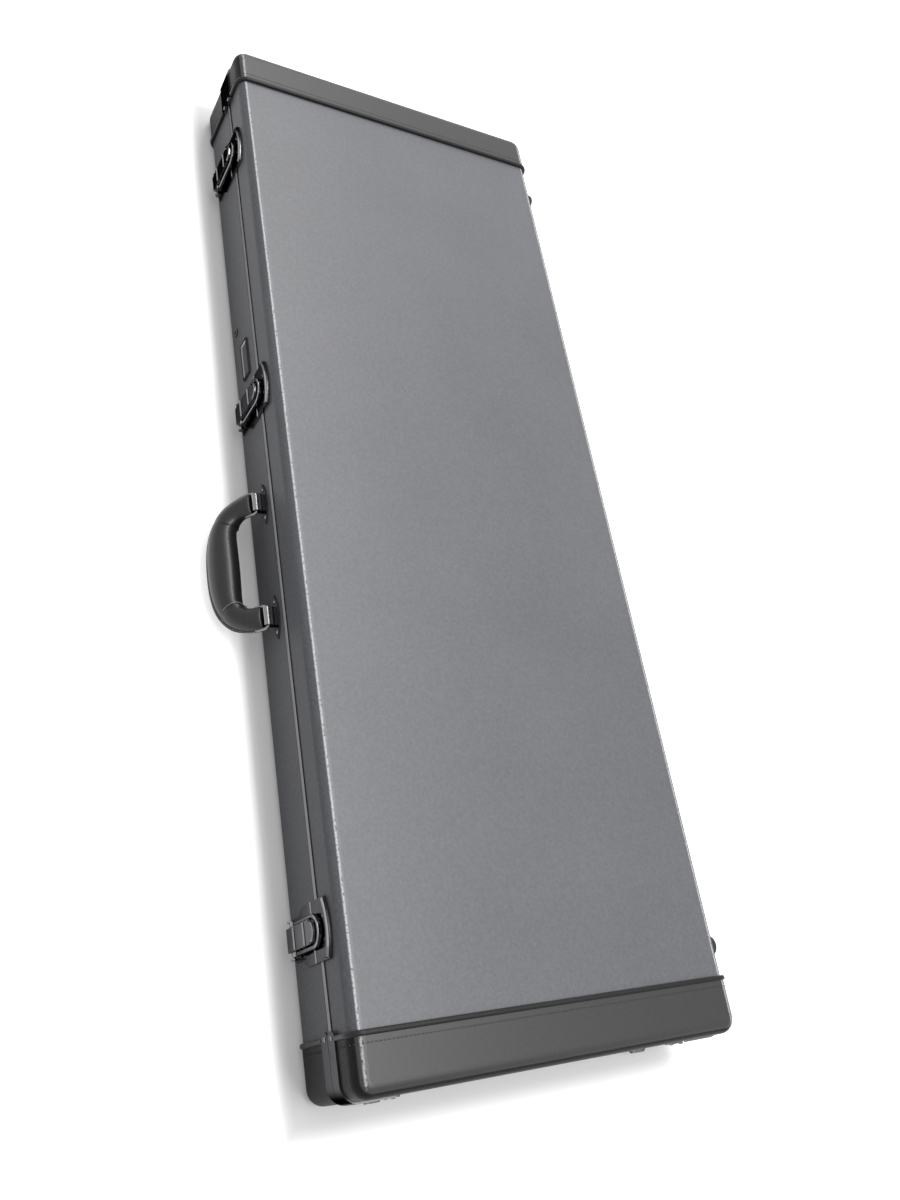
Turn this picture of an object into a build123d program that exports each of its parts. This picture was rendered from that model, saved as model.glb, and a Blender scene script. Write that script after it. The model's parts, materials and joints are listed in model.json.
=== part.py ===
"""A rectangular electric guitar case, lying on its back with the lid up.

Millimetres. The origin is the centre of the flat bottom panel. +X runs to the
body end, +Y to the hinge side, +Z up through the lid. The handle and latches
are on the -Y side.
"""
from build123d import *
from math import cos, radians, sin
import os

os.makedirs("parts", exist_ok=True)

# The covered plywood box
shell_length = 1066.0
shell_width = 374.0
shell_height = 102.5
seam_height = 65.0
wall = 8.0
panel = 6.0
corner_radius = 12.0
edge_radius = 9.5
inner_corner = 6.0

# Leather ends and the cord sewn along their edges
cap_thickness = 2.0
cap_reach = 42.0
piping_width = 4.4
piping_proud = 3.8
piping_round = 1.9

# Metal rims that meet at the seam
seam_gap = 0.2
valance_height = 3.5
bead_height = 2.0
bead_proud = 1.2
bead_round = 0.8
rim_recess = 0.6
tongue_width = 1.6
tongue_depth = 1.4
groove_clearance = 0.45

# Hinges on the long back side
hinge_mid_station = 0.0
hinge_foot_gap = 15.0
hinge_axis_out = 5.0
hinge_length = 60.0
knuckle_radius = 3.0
knuckle_gap = 0.3
web_far_share = 0.8
web_near_share = 0.5
hinge_pin_radius = 1.3
pin_clearance = 0.06
leaf_thickness = 1.3
leaf_reach = 20.0
leaf_from_seam = 8.0

# Plates of the draw latches on the handle side
latch_head_inset = 122.0
latch_mid_station = -103.0
latch_body_inset = 125.0
plate_width = 47.6
plate_thickness = 1.4
plate_top = 59.2
plate_shoulder = 37.0
plate_shoulder_round = 6.0
tab_width = 35.0
tab_top = 28.0
tab_bottom = 12.5
tab_round = 2.0
rib_height = 2.6
rib_proud = 3.4
rib_round = 0.9
ear_thickness = 1.2
ear_spread = 14.4
ear_radius = 3.0

# Strikes on the lid
strike_top = 89.0
strike_rise = 5.0
strike_round = 6.0
strike_gap = 0.8
strike_proud = 2.7
apron_thickness = 1.2
rim_inset = 1.2
rim_height = 3.8
rim_proud = 4.4
rim_taper_angle = 15.0
rim_corner = 2.8
rim_round = 0.5
hook_proud = 1.4
hook_width = 2.5
hook_foot = 3.0

# Levers and the loops that they draw down
lever_width = 19.0
lever_tip = 74.0
lever_heel = 18.4
lever_sheet = 1.5
lever_out = 7.9
lever_flange = 1.3
lever_ridge = 1.1
ridge_inset = 0.6
lower_ridge = 33.6
upper_ridge = 54.6
lip_inset = 0.5
lip_width = 2.1
lip_proud = 0.9
lip_taper_angle = 20.0
lever_pin_height = 19.6
lever_pin_out = 5.2
lever_pin_radius = 1.3
pin_overhang = 0.4
pin_margin = 2.6
stud_margin = 2.4
flange_rise = 9.0
flange_root = 0.1
loop_clearance = 0.7
loop_band = 3.4
loop_thickness = 3.0
loop_gap = 0.35
loop_lean = 0.3
loop_round = 0.9
loop_pivot_height = 27.2
loop_stud_radius = 1.2
loop_eye_radius = 2.7

# Handle and its two posts
handle_centre = 70.0
post_spacing = 117.0
pivot_height = 47.0
pivot_out = 9.5
handle_droop = 50.0
post_length = 43.0
post_height = 15.0
post_thickness = 1.6
hood_width = 17.6
hood_thickness = 2.1
ring_wire = 1.6
ring_clearance = 0.08
ring_side_gap = 0.5
ring_reach = 13.0
ring_corner = 2.6
strap_start = 4.8
strap_half_width = 10.8
strap_half_thickness = 6.0
strap_swell = 1.5
elbow_half_width = 11.0
elbow_half_thickness = 9.5
elbow_radius = 22.0
grip_out = 39.2
grip_half_width = 13.4
grip_half_thickness = 13.0
grip_crown = 2.2
grip_half_length = post_spacing / 2 - elbow_radius
welt_thickness = 2.4
welt_proud = 3.2
welt_gap = 0.3
welt_shoulder = 44.5
welt_shoulder_out = 51.6
welt_bend = 63.5
welt_bend_out = 36.2

# Corner straps
strap_height = 12.2
strap_sheet = 1.4
strap_side_reach = 50.0
strap_end_reach = 47.0
strap_tip_radius = 5.0
strap_seam_gap = 0.4
strap_lift = 0.1
strap_tip_gap = 0.05

# Small fittings
rivet_radius = 2.1
rivet_height = 1.0
rivet_taper_angle = 28.0
plate_rivet_heights = (44.0, 52.0)
strike_rivet_spread = 18.0
strike_rivet_height = 81.0
post_rivet_spread = 29.0
label_centre = -162.0
label_height = 38.0
label_length = 43.0
label_width = 18.0
label_border = 3.4
label_proud = 1.8
label_round = 1.2
label_bevel = 1.2
label_card = 0.8
eyelet_centre = -209.0
eyelet_height = 19.5
eyelet_radius = 4.6
eyelet_bore = 2.0
eyelet_proud = 1.4
eyelet_round = 0.9
foot_head_inset = 80.0
foot_body_inset = 74.0
foot_radius = 10.5
foot_height = 11.0
foot_taper_angle = 8.0
foot_round = 2.0
lid_foot_height = 82.0
base_foot_height = 22.0
glide_spread = 275.0
glide_height = 17.0
glide_radius = 9.0
glide_proud = 4.0
glide_taper_angle = 35.0

# Plush lined interior
lining = 3.0
pad_gap = 0.3
pad_top = 57.0
pad_round = 2.5
tail_pad_length = 24.0
head_pad_length = 20.0
waist_pad_start = 62.0
waist_station = 235.0
waist_depth = 38.0
bout_depth = 10.0
shoulder_depth = 58.0
upper_bout_reach = 105.0
upper_bout_fill = 14.0
lower_bout_reach = 150.0
lower_bout_fill = 24.0
neck_rest_station = -262.0
neck_rest_length = 55.0
neck_rest_top = 52.0
neck_notch_width = 66.0
neck_notch_depth = 22.0
neck_notch_slope = 6.0
neck_notch_round = 5.0
box_start = -205.0
box_end = 40.0
box_inner_side = 58.0
box_wall = 6.0
box_top = 55.0
box_lid_thickness = 5.0
box_lid_gap = 0.4
box_hinge_inset = 7.0
box_lid_clearance = 0.6
pull_tab_length = 22.0
pull_tab_width = 18.0
pull_tab_overhang = 7.0
pull_tab_round = 4.0
pull_tab_thickness = 1.0
lid_pad_thickness = 7.0
lid_pad_round = 4.0

# How far a cutting block reaches past what it cuts
overcut = 1.0

# Derived sizes
half_length = shell_length / 2
half_width = shell_width / 2
front = -half_width
foot_stations = (foot_head_inset - half_length, half_length - foot_body_inset)
hinge_from_foot = foot_radius + hinge_foot_gap + hinge_length / 2
hinge_stations = {
    "head": foot_stations[0] + hinge_from_foot,
    "mid": hinge_mid_station,
    "body": foot_stations[1] - hinge_from_foot,
}
latch_stations = {
    "head": latch_head_inset - half_length,
    "mid": latch_mid_station,
    "body": half_length - latch_body_inset,
}
floor_top = cap_thickness + panel
base_wall_top = seam_height - valance_height
lid_seam = seam_height + seam_gap
lid_wall_bottom = lid_seam + valance_height
lid_ceiling = shell_height - wall
cap_edge = half_length - cap_reach
hinge_y = half_width + hinge_axis_out
hinge_z = seam_height + seam_gap / 2
loop_out = strike_proud + hook_proud + loop_gap
loop_pivot_out = loop_out + loop_thickness / 2 + loop_lean
loop_half = lever_width / 2 + loop_clearance + loop_band / 2
loop_shoulder = lever_tip + loop_clearance + loop_band / 2 - loop_half
pivot_y = front - pivot_out
strap_tip_x = half_length - strap_side_reach
base_strap_low = seam_height - strap_height - strap_seam_gap / 2
lid_strap_low = lid_seam + strap_seam_gap / 2


def save(piece, name):
    """Label a finished piece and write it to its own file."""
    piece.part.label = name
    export_step(piece.part, f"parts/{name}.step")


def rounded_block(length, width, low, high, corner, edge):
    """A block with round upright corners and round top and bottom edges."""
    with BuildPart() as block:
        with BuildSketch(Plane.XY.offset(low)):
            RectangleRounded(length, width, corner)
        extrude(amount=high - low)
        fillet(block.faces().sort_by(Axis.Z)[-1].edges(), edge)
        fillet(block.faces().sort_by(Axis.Z)[0].edges(), edge)
    return block.part


def side_plane(x, height, out=0.0):
    """A plane on the handle side: x to the body end, y up, normal outward."""
    return Plane(origin=(x, front - out, height), x_dir=(1, 0, 0), z_dir=(0, -1, 0))


def spine_plane(x, height):
    """A plane on the hinge side with its normal outward."""
    return Plane(origin=(x, half_width, height), x_dir=(-1, 0, 0), z_dir=(0, 1, 0))


def rivet_group(planes):
    """Low domed heads, one on each plane."""
    with BuildPart() as heads:
        for plane in planes:
            with BuildSketch(plane):
                Circle(rivet_radius)
            extrude(amount=rivet_height, taper=rivet_taper_angle)
    return heads


core = rounded_block(
    shell_length, shell_width, cap_thickness, shell_height, corner_radius, edge_radius
)
skin = rounded_block(
    shell_length + 2 * cap_thickness,
    shell_width + 2 * cap_thickness,
    0,
    shell_height + cap_thickness,
    corner_radius + cap_thickness,
    edge_radius + cap_thickness,
)


def base_shell():
    """The deep half: walls and bottom panel, flush with the leather below."""
    panel_length = 2 * (cap_edge - piping_width)
    with BuildPart() as shell:
        add(core)
        with BuildSketch(Plane.YZ.offset(-panel_length / 2)):
            with Locations((0, seam_height)):
                RectangleRounded(shell_width, 2 * seam_height, edge_radius)
        extrude(amount=panel_length)
        split(bisect_by=Plane.XY.offset(base_wall_top), keep=Keep.BOTTOM)
        with BuildSketch(Plane.XY.offset(floor_top)):
            RectangleRounded(shell_length - 2 * wall, shell_width - 2 * wall, inner_corner)
        extrude(amount=base_wall_top - floor_top, mode=Mode.SUBTRACT)
    save(shell, "base_shell")


def lid_shell():
    """The shallow half, open below."""
    with BuildPart() as shell:
        add(core)
        split(bisect_by=Plane.XY.offset(lid_wall_bottom), keep=Keep.TOP)
        with BuildSketch(Plane.XY.offset(lid_wall_bottom)):
            RectangleRounded(shell_length - 2 * wall, shell_width - 2 * wall, inner_corner)
        extrude(amount=lid_ceiling - lid_wall_bottom, mode=Mode.SUBTRACT)
    save(shell, "lid_shell")


def rim_ring(low, height, middle, width):
    """Sketch area of a ring that runs round the middle of the wall."""
    with BuildPart() as ring:
        with BuildSketch(Plane.XY.offset(low)):
            RectangleRounded(
                shell_length - 2 * middle + width,
                shell_width - 2 * middle + width,
                corner_radius - middle + width / 2,
            )
            RectangleRounded(
                shell_length - 2 * middle - width,
                shell_width - 2 * middle - width,
                corner_radius - middle - width / 2,
                mode=Mode.SUBTRACT,
            )
        extrude(amount=height)
    return ring.part


def valance(name, wall_end, bead_low, recess_low, is_base):
    """A rim with a rounded bead, a recess beside it, and a tongue or groove."""
    with BuildPart() as rim:
        with BuildSketch(Plane.XY.offset(bead_low)):
            RectangleRounded(
                shell_length + 2 * bead_proud,
                shell_width + 2 * bead_proud,
                corner_radius + bead_proud,
            )
        extrude(amount=bead_height)
        fillet(rim.faces().sort_by(Axis.Z)[-1].edges(), bead_round)
        fillet(rim.faces().sort_by(Axis.Z)[0].edges(), bead_round)
        with BuildSketch(Plane.XY.offset(recess_low)):
            RectangleRounded(
                shell_length - 2 * rim_recess,
                shell_width - 2 * rim_recess,
                corner_radius - rim_recess,
            )
        extrude(amount=valance_height - bead_height)
        with BuildSketch(Plane.XY.offset(wall_end)):
            RectangleRounded(shell_length - 2 * wall, shell_width - 2 * wall, inner_corner)
        extrude(amount=valance_height if is_base else -valance_height, mode=Mode.SUBTRACT)
        if is_base:
            depth = tongue_depth + groove_clearance
            add(
                rim_ring(seam_height - depth, depth, wall / 2, tongue_width + 2 * groove_clearance),
                mode=Mode.SUBTRACT,
            )
        else:
            drop = tongue_depth + seam_gap
            add(rim_ring(lid_seam - drop, drop, wall / 2, tongue_width))
    save(rim, name)


def valances():
    """The base rim holds the groove and the lid rim the tongue."""
    valance("base_valance", base_wall_top, seam_height - bead_height, base_wall_top, True)
    valance("lid_valance", lid_wall_bottom, lid_seam, lid_seam + bead_height, False)


def end_caps():
    """Leather skins over both ends of both halves."""
    for end, sign in (("head", -1), ("body", 1)):
        for half, low, high in (
            ("base", -overcut, base_wall_top - rim_recess / 2),
            ("lid", lid_wall_bottom + rim_recess / 2, shell_height + 2 * cap_thickness),
        ):
            with BuildPart() as cap:
                add(skin)
                add(core, mode=Mode.SUBTRACT)
                with BuildSketch(Plane.XY.offset(low)):
                    with Locations((sign * half_length, 0)):
                        Rectangle(2 * cap_reach, 2 * shell_width)
                extrude(amount=high - low, mode=Mode.INTERSECT)
            save(cap, f"{half}_{end}_leather")


def piping():
    """A round cord along each leather edge, cut away below the corner straps."""
    width = shell_width + 2 * piping_proud
    low = cap_thickness - piping_proud
    high = shell_height + piping_proud
    for half, bottom, top in (
        ("base", 0, base_strap_low - strap_seam_gap),
        ("lid", lid_strap_low + strap_height + strap_seam_gap, high + overcut),
    ):
        with BuildPart() as cords:
            for sign in (-1, 1):
                with BuildPart(mode=Mode.PRIVATE) as hoop:
                    start = sign * (cap_edge - piping_width / 2) - piping_width / 2
                    with BuildSketch(Plane.YZ.offset(start)):
                        with Locations((0, (low + high) / 2)):
                            RectangleRounded(width, high - low, edge_radius + piping_proud)
                    extrude(amount=piping_width)
                    fillet(hoop.faces().sort_by(Axis.X)[-1].edges(), piping_round)
                    fillet(hoop.faces().sort_by(Axis.X)[0].edges(), piping_round)
                add(hoop.part)
            add(core, mode=Mode.SUBTRACT)
            with BuildSketch(Plane.XY.offset(bottom)):
                Rectangle(2 * shell_length, 2 * shell_width)
            extrude(amount=top - bottom, mode=Mode.INTERSECT)
        save(cords, f"{half}_piping")


def corner_straps():
    """Bent metal straps round the four corners, parting at the seam."""
    lift = cap_thickness + strap_lift + strap_sheet / 2
    bend = corner_radius + lift
    pad_length = cap_edge - strap_tip_x - strap_tip_gap
    pad_depth = cap_thickness + strap_lift - strap_tip_gap
    pad_height = strap_height - valance_height
    for half, low in (("base", base_strap_low), ("lid", lid_strap_low)):
        with BuildPart() as straps:
            with BuildSketch(Plane.XY.offset(low)):
                with BuildLine():
                    Line(
                        (strap_tip_x, half_width + lift),
                        (half_length - corner_radius, half_width + lift),
                    )
                    CenterArc(
                        (half_length - corner_radius, half_width - corner_radius), bend, 0, 90
                    )
                    Line(
                        (half_length + lift, half_width - corner_radius),
                        (half_length + lift, half_width - strap_end_reach),
                    )
                trace(line_width=strap_sheet)
            extrude(amount=strap_height)
            side_tip = straps.edges().filter_by(Axis.Y).group_by(Axis.X)[0]
            end_tip = straps.edges().filter_by(Axis.X).group_by(Axis.Y)[0]
            fillet(side_tip + end_tip, strap_tip_radius)
            pad_low = low if half == "base" else low + valance_height
            with BuildSketch(Plane.XY.offset(pad_low)):
                with Locations((strap_tip_x + pad_length / 2, half_width + strap_tip_gap + pad_depth / 2)):
                    Rectangle(pad_length - strap_tip_radius, pad_depth)
            extrude(amount=pad_height)
            mirror(about=Plane.XZ)
            mirror(about=Plane.YZ)
        save(straps, f"{half}_corner_straps")


def strap_rivet_planes(low):
    """Where the strap rivets of one half sit: near both tips of each strap."""
    out = cap_thickness + strap_lift + strap_sheet
    middle = low + strap_height / 2
    inset = half_width - strap_end_reach + strap_tip_radius
    planes = []
    for side in (-1, 1):
        for end in (-1, 1):
            tip = (end * (strap_tip_x + strap_tip_radius), side * (half_width + out), middle)
            planes.append(Plane(tip, z_dir=(0, side, 0)))
            tip = (end * (half_length + out), side * inset, middle)
            planes.append(Plane(tip, z_dir=(end, 0, 0)))
    return planes


def hinge_leaf(name, x, sign):
    """One leaf: a flat plate, a web that steps out, and its knuckles."""
    spans = [0] if sign > 0 else [-1, 1]
    knuckle = hinge_length / 3 - knuckle_gap
    near = hinge_z + sign * leaf_from_seam
    far = near + sign * leaf_reach
    web_far = knuckle_radius * web_far_share
    web_near = knuckle_radius * web_near_share
    with BuildPart() as leaf:
        with BuildSketch(Plane.YZ.offset(x - hinge_length / 2)):
            with BuildLine():
                Polyline(
                    (half_width, near),
                    (half_width, far),
                    (half_width + leaf_thickness, far),
                    (half_width + leaf_thickness, near),
                    close=True,
                )
            make_face()
        extrude(amount=hinge_length)
        for span in spans:
            with BuildSketch(Plane.YZ.offset(x + span * hinge_length / 3 - knuckle / 2)):
                with BuildLine():
                    Polyline(
                        (half_width, near),
                        (half_width + leaf_thickness, near),
                        (hinge_y + web_far, hinge_z + sign * web_near),
                        (hinge_y - web_near, hinge_z + sign * web_far),
                        close=True,
                    )
                make_face()
                with Locations((hinge_y, hinge_z)):
                    Circle(knuckle_radius)
                    Circle(hinge_pin_radius + pin_clearance, mode=Mode.SUBTRACT)
            extrude(amount=knuckle)
    save(leaf, name)


def hinges():
    """Three butt hinges, their pins and their rivets."""
    for place, x in hinge_stations.items():
        hinge_leaf(f"base_hinge_leaf_{place}", x, -1)
        hinge_leaf(f"lid_hinge_leaf_{place}", x, 1)
    with BuildPart() as pins:
        for x in hinge_stations.values():
            with BuildSketch(Plane.YZ.offset(x - hinge_length / 2)):
                with Locations((hinge_y, hinge_z)):
                    Circle(hinge_pin_radius)
            extrude(amount=hinge_length)
    save(pins, "hinge_pins")


def hinge_rivet_planes(sign):
    """Two rivets in each leaf of one half."""
    height = hinge_z + sign * (leaf_from_seam + leaf_reach / 2)
    planes = []
    for x in hinge_stations.values():
        for step in (-1, 1):
            planes.append(spine_plane(x + step * hinge_length / 3, height).offset(leaf_thickness))
    return planes


def latch_plate(x):
    """The pressed plate under the lever, with its rolled top edge and two ears."""
    half_plate = plate_width / 2
    half_tab = tab_width / 2
    with BuildPart() as plate:
        with BuildSketch(side_plane(x, 0)) as outline:
            with BuildLine():
                Polyline(
                    (-half_plate, plate_top),
                    (half_plate, plate_top),
                    (half_plate, plate_shoulder),
                    (half_tab, tab_top),
                    (half_tab, tab_bottom),
                    (-half_tab, tab_bottom),
                    (-half_tab, tab_top),
                    (-half_plate, plate_shoulder),
                    close=True,
                )
            make_face()
            shoulders = outline.vertices().filter_by_position(
                Axis.Z, tab_top - overcut, plate_shoulder + overcut
            )
            fillet(shoulders, plate_shoulder_round)
            fillet(outline.vertices().group_by(Axis.Z)[0], tab_round)
        extrude(amount=plate_thickness)
        with BuildSketch(side_plane(x, plate_top - rib_height / 2, plate_thickness)):
            Rectangle(plate_width, rib_height)
        extrude(amount=rib_proud - plate_thickness)
        rib_edges = plate.faces().sort_by(Axis.Y)[0].edges().filter_by(Axis.X)
        fillet(rib_edges, rib_round)
        for sign in (-1, 1):
            ear_x = x + sign * (ear_spread + ear_thickness / 2) - ear_thickness / 2
            with BuildSketch(Plane.YZ.offset(ear_x)):
                with Locations((front - lever_pin_out / 2, lever_pin_height)):
                    Rectangle(lever_pin_out, 2 * ear_radius)
                with Locations((front - lever_pin_out, lever_pin_height)):
                    Circle(ear_radius)
            extrude(amount=ear_thickness)
            with BuildSketch(Plane.YZ.offset(ear_x)):
                with Locations((front - lever_pin_out, lever_pin_height)):
                    Circle(lever_pin_radius + pin_clearance)
            extrude(amount=ear_thickness, mode=Mode.SUBTRACT)
    return plate


def latch_lever(x):
    """A D-ended lever with two pressed ridges and two side flanges."""
    half = lever_width / 2
    body = lever_tip - half - lever_heel
    with BuildPart() as lever:
        with BuildSketch(side_plane(x, 0, lever_out)):
            with Locations((0, lever_heel + body / 2)):
                Rectangle(lever_width, body)
            with Locations((0, lever_heel + body)):
                Circle(half)
        extrude(amount=lever_sheet)
        for height in (lower_ridge, upper_ridge):
            with BuildSketch(Plane.YZ.offset(x - half + ridge_inset)):
                with Locations((front - lever_out - lever_sheet, height)):
                    Circle(lever_ridge)
            extrude(amount=lever_width - 2 * ridge_inset)
        with BuildSketch(side_plane(x, 0, lever_out + lever_sheet)):
            with Locations((0, lever_heel + body)):
                Circle(half - lip_inset)
                Circle(half - lip_inset - lip_width, mode=Mode.SUBTRACT)
                with Locations((0, -half / 2)):
                    Rectangle(lever_width, half, mode=Mode.SUBTRACT)
        extrude(amount=lip_proud, taper=lip_taper_angle)
        for sign in (-1, 1):
            flange_x = x + sign * (half - lever_flange / 2) - lever_flange / 2
            with BuildSketch(Plane.YZ.offset(flange_x)):
                with BuildLine():
                    Polyline(
                        (front - lever_out - flange_root, lever_heel),
                        (front - lever_out - flange_root, loop_pivot_height + flange_rise),
                        (front - loop_pivot_out + stud_margin, loop_pivot_height + stud_margin),
                        (front - lever_pin_out + pin_margin, lever_pin_height),
                        close=True,
                    )
                make_face()
                with Locations((front - lever_pin_out, lever_pin_height)):
                    Circle(pin_margin)
                    Circle(lever_pin_radius + pin_clearance, mode=Mode.SUBTRACT)
                with Locations((front - loop_pivot_out, loop_pivot_height)):
                    Circle(loop_stud_radius + pin_clearance, mode=Mode.SUBTRACT)
            extrude(amount=lever_flange)
    return lever


def latch_loop(x):
    """The bail that draws the lid down, with an eye and a stud on each arm."""
    with BuildPart() as loop:
        with BuildSketch(side_plane(x, 0, loop_out)):
            with BuildLine():
                Line((-loop_half, loop_pivot_height), (-loop_half, loop_shoulder))
                CenterArc((0, loop_shoulder), loop_half, 180, -180)
                Line((loop_half, loop_shoulder), (loop_half, loop_pivot_height))
            trace(line_width=loop_band)
        extrude(amount=loop_thickness)
        outer_face = loop.faces().sort_by(Axis.Y)[0]
        fillet(outer_face.edges(), loop_round)
        for sign in (-1, 1):
            eye_x = x + sign * loop_half - loop_band / 2
            with BuildSketch(Plane.YZ.offset(eye_x)):
                with Locations((front - loop_pivot_out, loop_pivot_height)):
                    Circle(loop_eye_radius)
            extrude(amount=loop_band)
            stud_start = x + sign * (loop_half - loop_band / 2)
            with BuildSketch(Plane.YZ.offset(stud_start)):
                with Locations((front - loop_pivot_out, loop_pivot_height)):
                    Circle(loop_stud_radius)
            extrude(amount=-sign * (loop_clearance + lever_flange))
    return loop


def latch_strike(x):
    """The lid plate: an apron over the seam, a rolled rim and a hook ridge."""
    low = plate_top + strike_gap
    lid_low = lid_wall_bottom
    half_plate = plate_width / 2
    shoulder = strike_top - strike_rise
    half_rim = half_plate - rim_inset
    with BuildPart() as strike:
        with BuildSketch(side_plane(x, 0)) as outline:
            with BuildLine():
                Line((-half_plate, lid_low), (-half_plate, shoulder))
                ThreePointArc((-half_plate, shoulder), (0, strike_top), (half_plate, shoulder))
                Line((half_plate, shoulder), (half_plate, lid_low))
                Line((half_plate, lid_low), (-half_plate, lid_low))
            make_face()
            top_corners = outline.vertices().filter_by_position(
                Axis.Z, shoulder - overcut, shoulder + overcut
            )
            fillet(top_corners, strike_round)
        extrude(amount=strike_proud)
        with BuildSketch(side_plane(x, (low + lid_low) / 2, strike_proud - apron_thickness)):
            Rectangle(plate_width, lid_low - low)
        extrude(amount=apron_thickness)
        with BuildSketch(side_plane(x, -rim_inset, strike_proud)) as rim:
            with BuildLine():
                ThreePointArc((-half_rim, shoulder), (0, strike_top), (half_rim, shoulder))
                Line((half_rim, shoulder), (half_rim, shoulder - rim_height))
                ThreePointArc(
                    (half_rim, shoulder - rim_height),
                    (0, strike_top - rim_height),
                    (-half_rim, shoulder - rim_height),
                )
                Line((-half_rim, shoulder - rim_height), (-half_rim, shoulder))
            make_face()
            rim_corners = rim.vertices().filter_by_position(Axis.Z, shoulder - strike_rise, strike_top)
            fillet(rim_corners, rim_corner)
        extrude(amount=rim_proud - strike_proud, taper=rim_taper_angle)
        fillet(strike.faces().sort_by(Axis.Y)[0].edges(), rim_round)
        with BuildSketch(side_plane(x, loop_shoulder, strike_proud)):
            Circle(loop_half - loop_band / 2)
            Circle(loop_half - loop_band / 2 - hook_width, mode=Mode.SUBTRACT)
            with Locations((0, -(loop_half - hook_foot) / 2)):
                Rectangle(2 * loop_half, loop_half + hook_foot, mode=Mode.SUBTRACT)
        extrude(amount=hook_proud)
    return strike


def latches():
    """Three draw latches and the pins of their levers."""
    for place, x in latch_stations.items():
        save(latch_plate(x), f"latch_plate_{place}")
        save(latch_lever(x), f"latch_lever_{place}")
        save(latch_loop(x), f"latch_loop_{place}")
        save(latch_strike(x), f"latch_strike_{place}")
    span = ear_spread + ear_thickness + pin_overhang
    with BuildPart() as pins:
        for x in latch_stations.values():
            with BuildSketch(Plane.YZ.offset(x - span)):
                with Locations((front - lever_pin_out, lever_pin_height)):
                    Circle(lever_pin_radius)
            extrude(amount=2 * span)
    save(pins, "latch_lever_pins")


def handle_plane(across=0.0):
    """The drooping plane of the handle: x along the case, y away from the pivot."""
    droop = radians(handle_droop)
    normal = (0, sin(droop), -cos(droop))
    plane = Plane(origin=(handle_centre, pivot_y, pivot_height), x_dir=(1, 0, 0), z_dir=normal)
    return plane.offset(across)


def handle_posts():
    """Two riveted plates, each with a hood bent round the ring."""
    bore = ring_wire + ring_clearance
    for name, step in (("head", -0.5), ("body", 0.5)):
        x = handle_centre + step * post_spacing
        with BuildPart() as post:
            with BuildSketch(side_plane(x, pivot_height)):
                with BuildLine():
                    ThreePointArc((-post_length / 2, 0), (0, post_height / 2), (post_length / 2, 0))
                    ThreePointArc((post_length / 2, 0), (0, -post_height / 2), (-post_length / 2, 0))
                make_face()
            extrude(amount=post_thickness)
            with BuildSketch(Plane.YZ.offset(x - hood_width / 2)):
                with Locations((pivot_y, pivot_height)):
                    Circle(bore + hood_thickness)
                with Locations((front - pivot_out / 2, pivot_height)):
                    Rectangle(pivot_out, 2 * (bore + hood_thickness))
                with Locations((pivot_y, pivot_height)):
                    Circle(bore, mode=Mode.SUBTRACT)
                with Locations((pivot_y + (pivot_out - post_thickness) / 2, pivot_height)):
                    Rectangle(pivot_out - post_thickness, 2 * bore, mode=Mode.SUBTRACT)
            extrude(amount=hood_width)
        save(post, f"handle_post_{name}")


def handle_ring(x):
    """A closed wire ring: one bar in the hood, the other sewn in the leather."""
    half = hood_width / 2 + ring_side_gap + ring_wire
    base = handle_plane()
    start = base.from_local_coords(Vector(x - handle_centre, 0, 0))
    with BuildPart() as ring:
        with BuildLine(Plane(origin=start, x_dir=base.x_dir, z_dir=base.z_dir)) as path:
            outline = Polyline(
                (0, 0), (half, 0), (half, ring_reach), (-half, ring_reach), (-half, 0), (0, 0)
            )
            fillet(outline.vertices()[1:5], ring_corner)
        with BuildSketch(Plane(origin=start, z_dir=(1, 0, 0))):
            Circle(ring_wire)
        sweep(path=path.wires()[0])
    return ring


def handle_elbow(sign, ring):
    """The leather arm from a ring round the bend to the grip."""
    post = sign * post_spacing / 2
    base = handle_plane()
    knee_half_thickness = strap_half_thickness + strap_swell
    with BuildPart() as elbow:
        origin = base.from_local_coords(Vector(post, strap_start, 0))
        with BuildSketch(Plane(origin=origin, x_dir=(1, 0, 0), z_dir=base.y_dir)):
            Ellipse(strap_half_width, strap_half_thickness)
        knee = base.from_local_coords(Vector(post, grip_out - elbow_radius, 0))
        with BuildSketch(Plane(origin=knee, x_dir=(1, 0, 0), z_dir=base.y_dir)):
            Ellipse(strap_half_width, knee_half_thickness)
        loft()
        halfway = radians(45)
        turn = Vector(
            post - sign * elbow_radius * (1 - cos(halfway)),
            grip_out - elbow_radius * (1 - sin(halfway)),
            0,
        )
        turn_normal = base.y_dir * cos(halfway) - base.x_dir * sign * sin(halfway)
        end = base.from_local_coords(Vector(sign * grip_half_length, grip_out, 0))
        sections = [
            (knee, base.y_dir, strap_half_width, knee_half_thickness),
            (base.from_local_coords(turn), turn_normal, elbow_half_width, elbow_half_thickness),
            (end, base.x_dir * -sign, grip_half_width, grip_half_thickness),
        ]
        with BuildPart(mode=Mode.PRIVATE) as bend_part:
            for place, normal, wide, thick in sections:
                across = normal.cross(base.z_dir)
                with BuildSketch(Plane(origin=place, x_dir=across, z_dir=normal)):
                    Ellipse(wide, thick)
            loft()
        add(bend_part.part)
        add(ring, mode=Mode.SUBTRACT)
    return elbow


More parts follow.
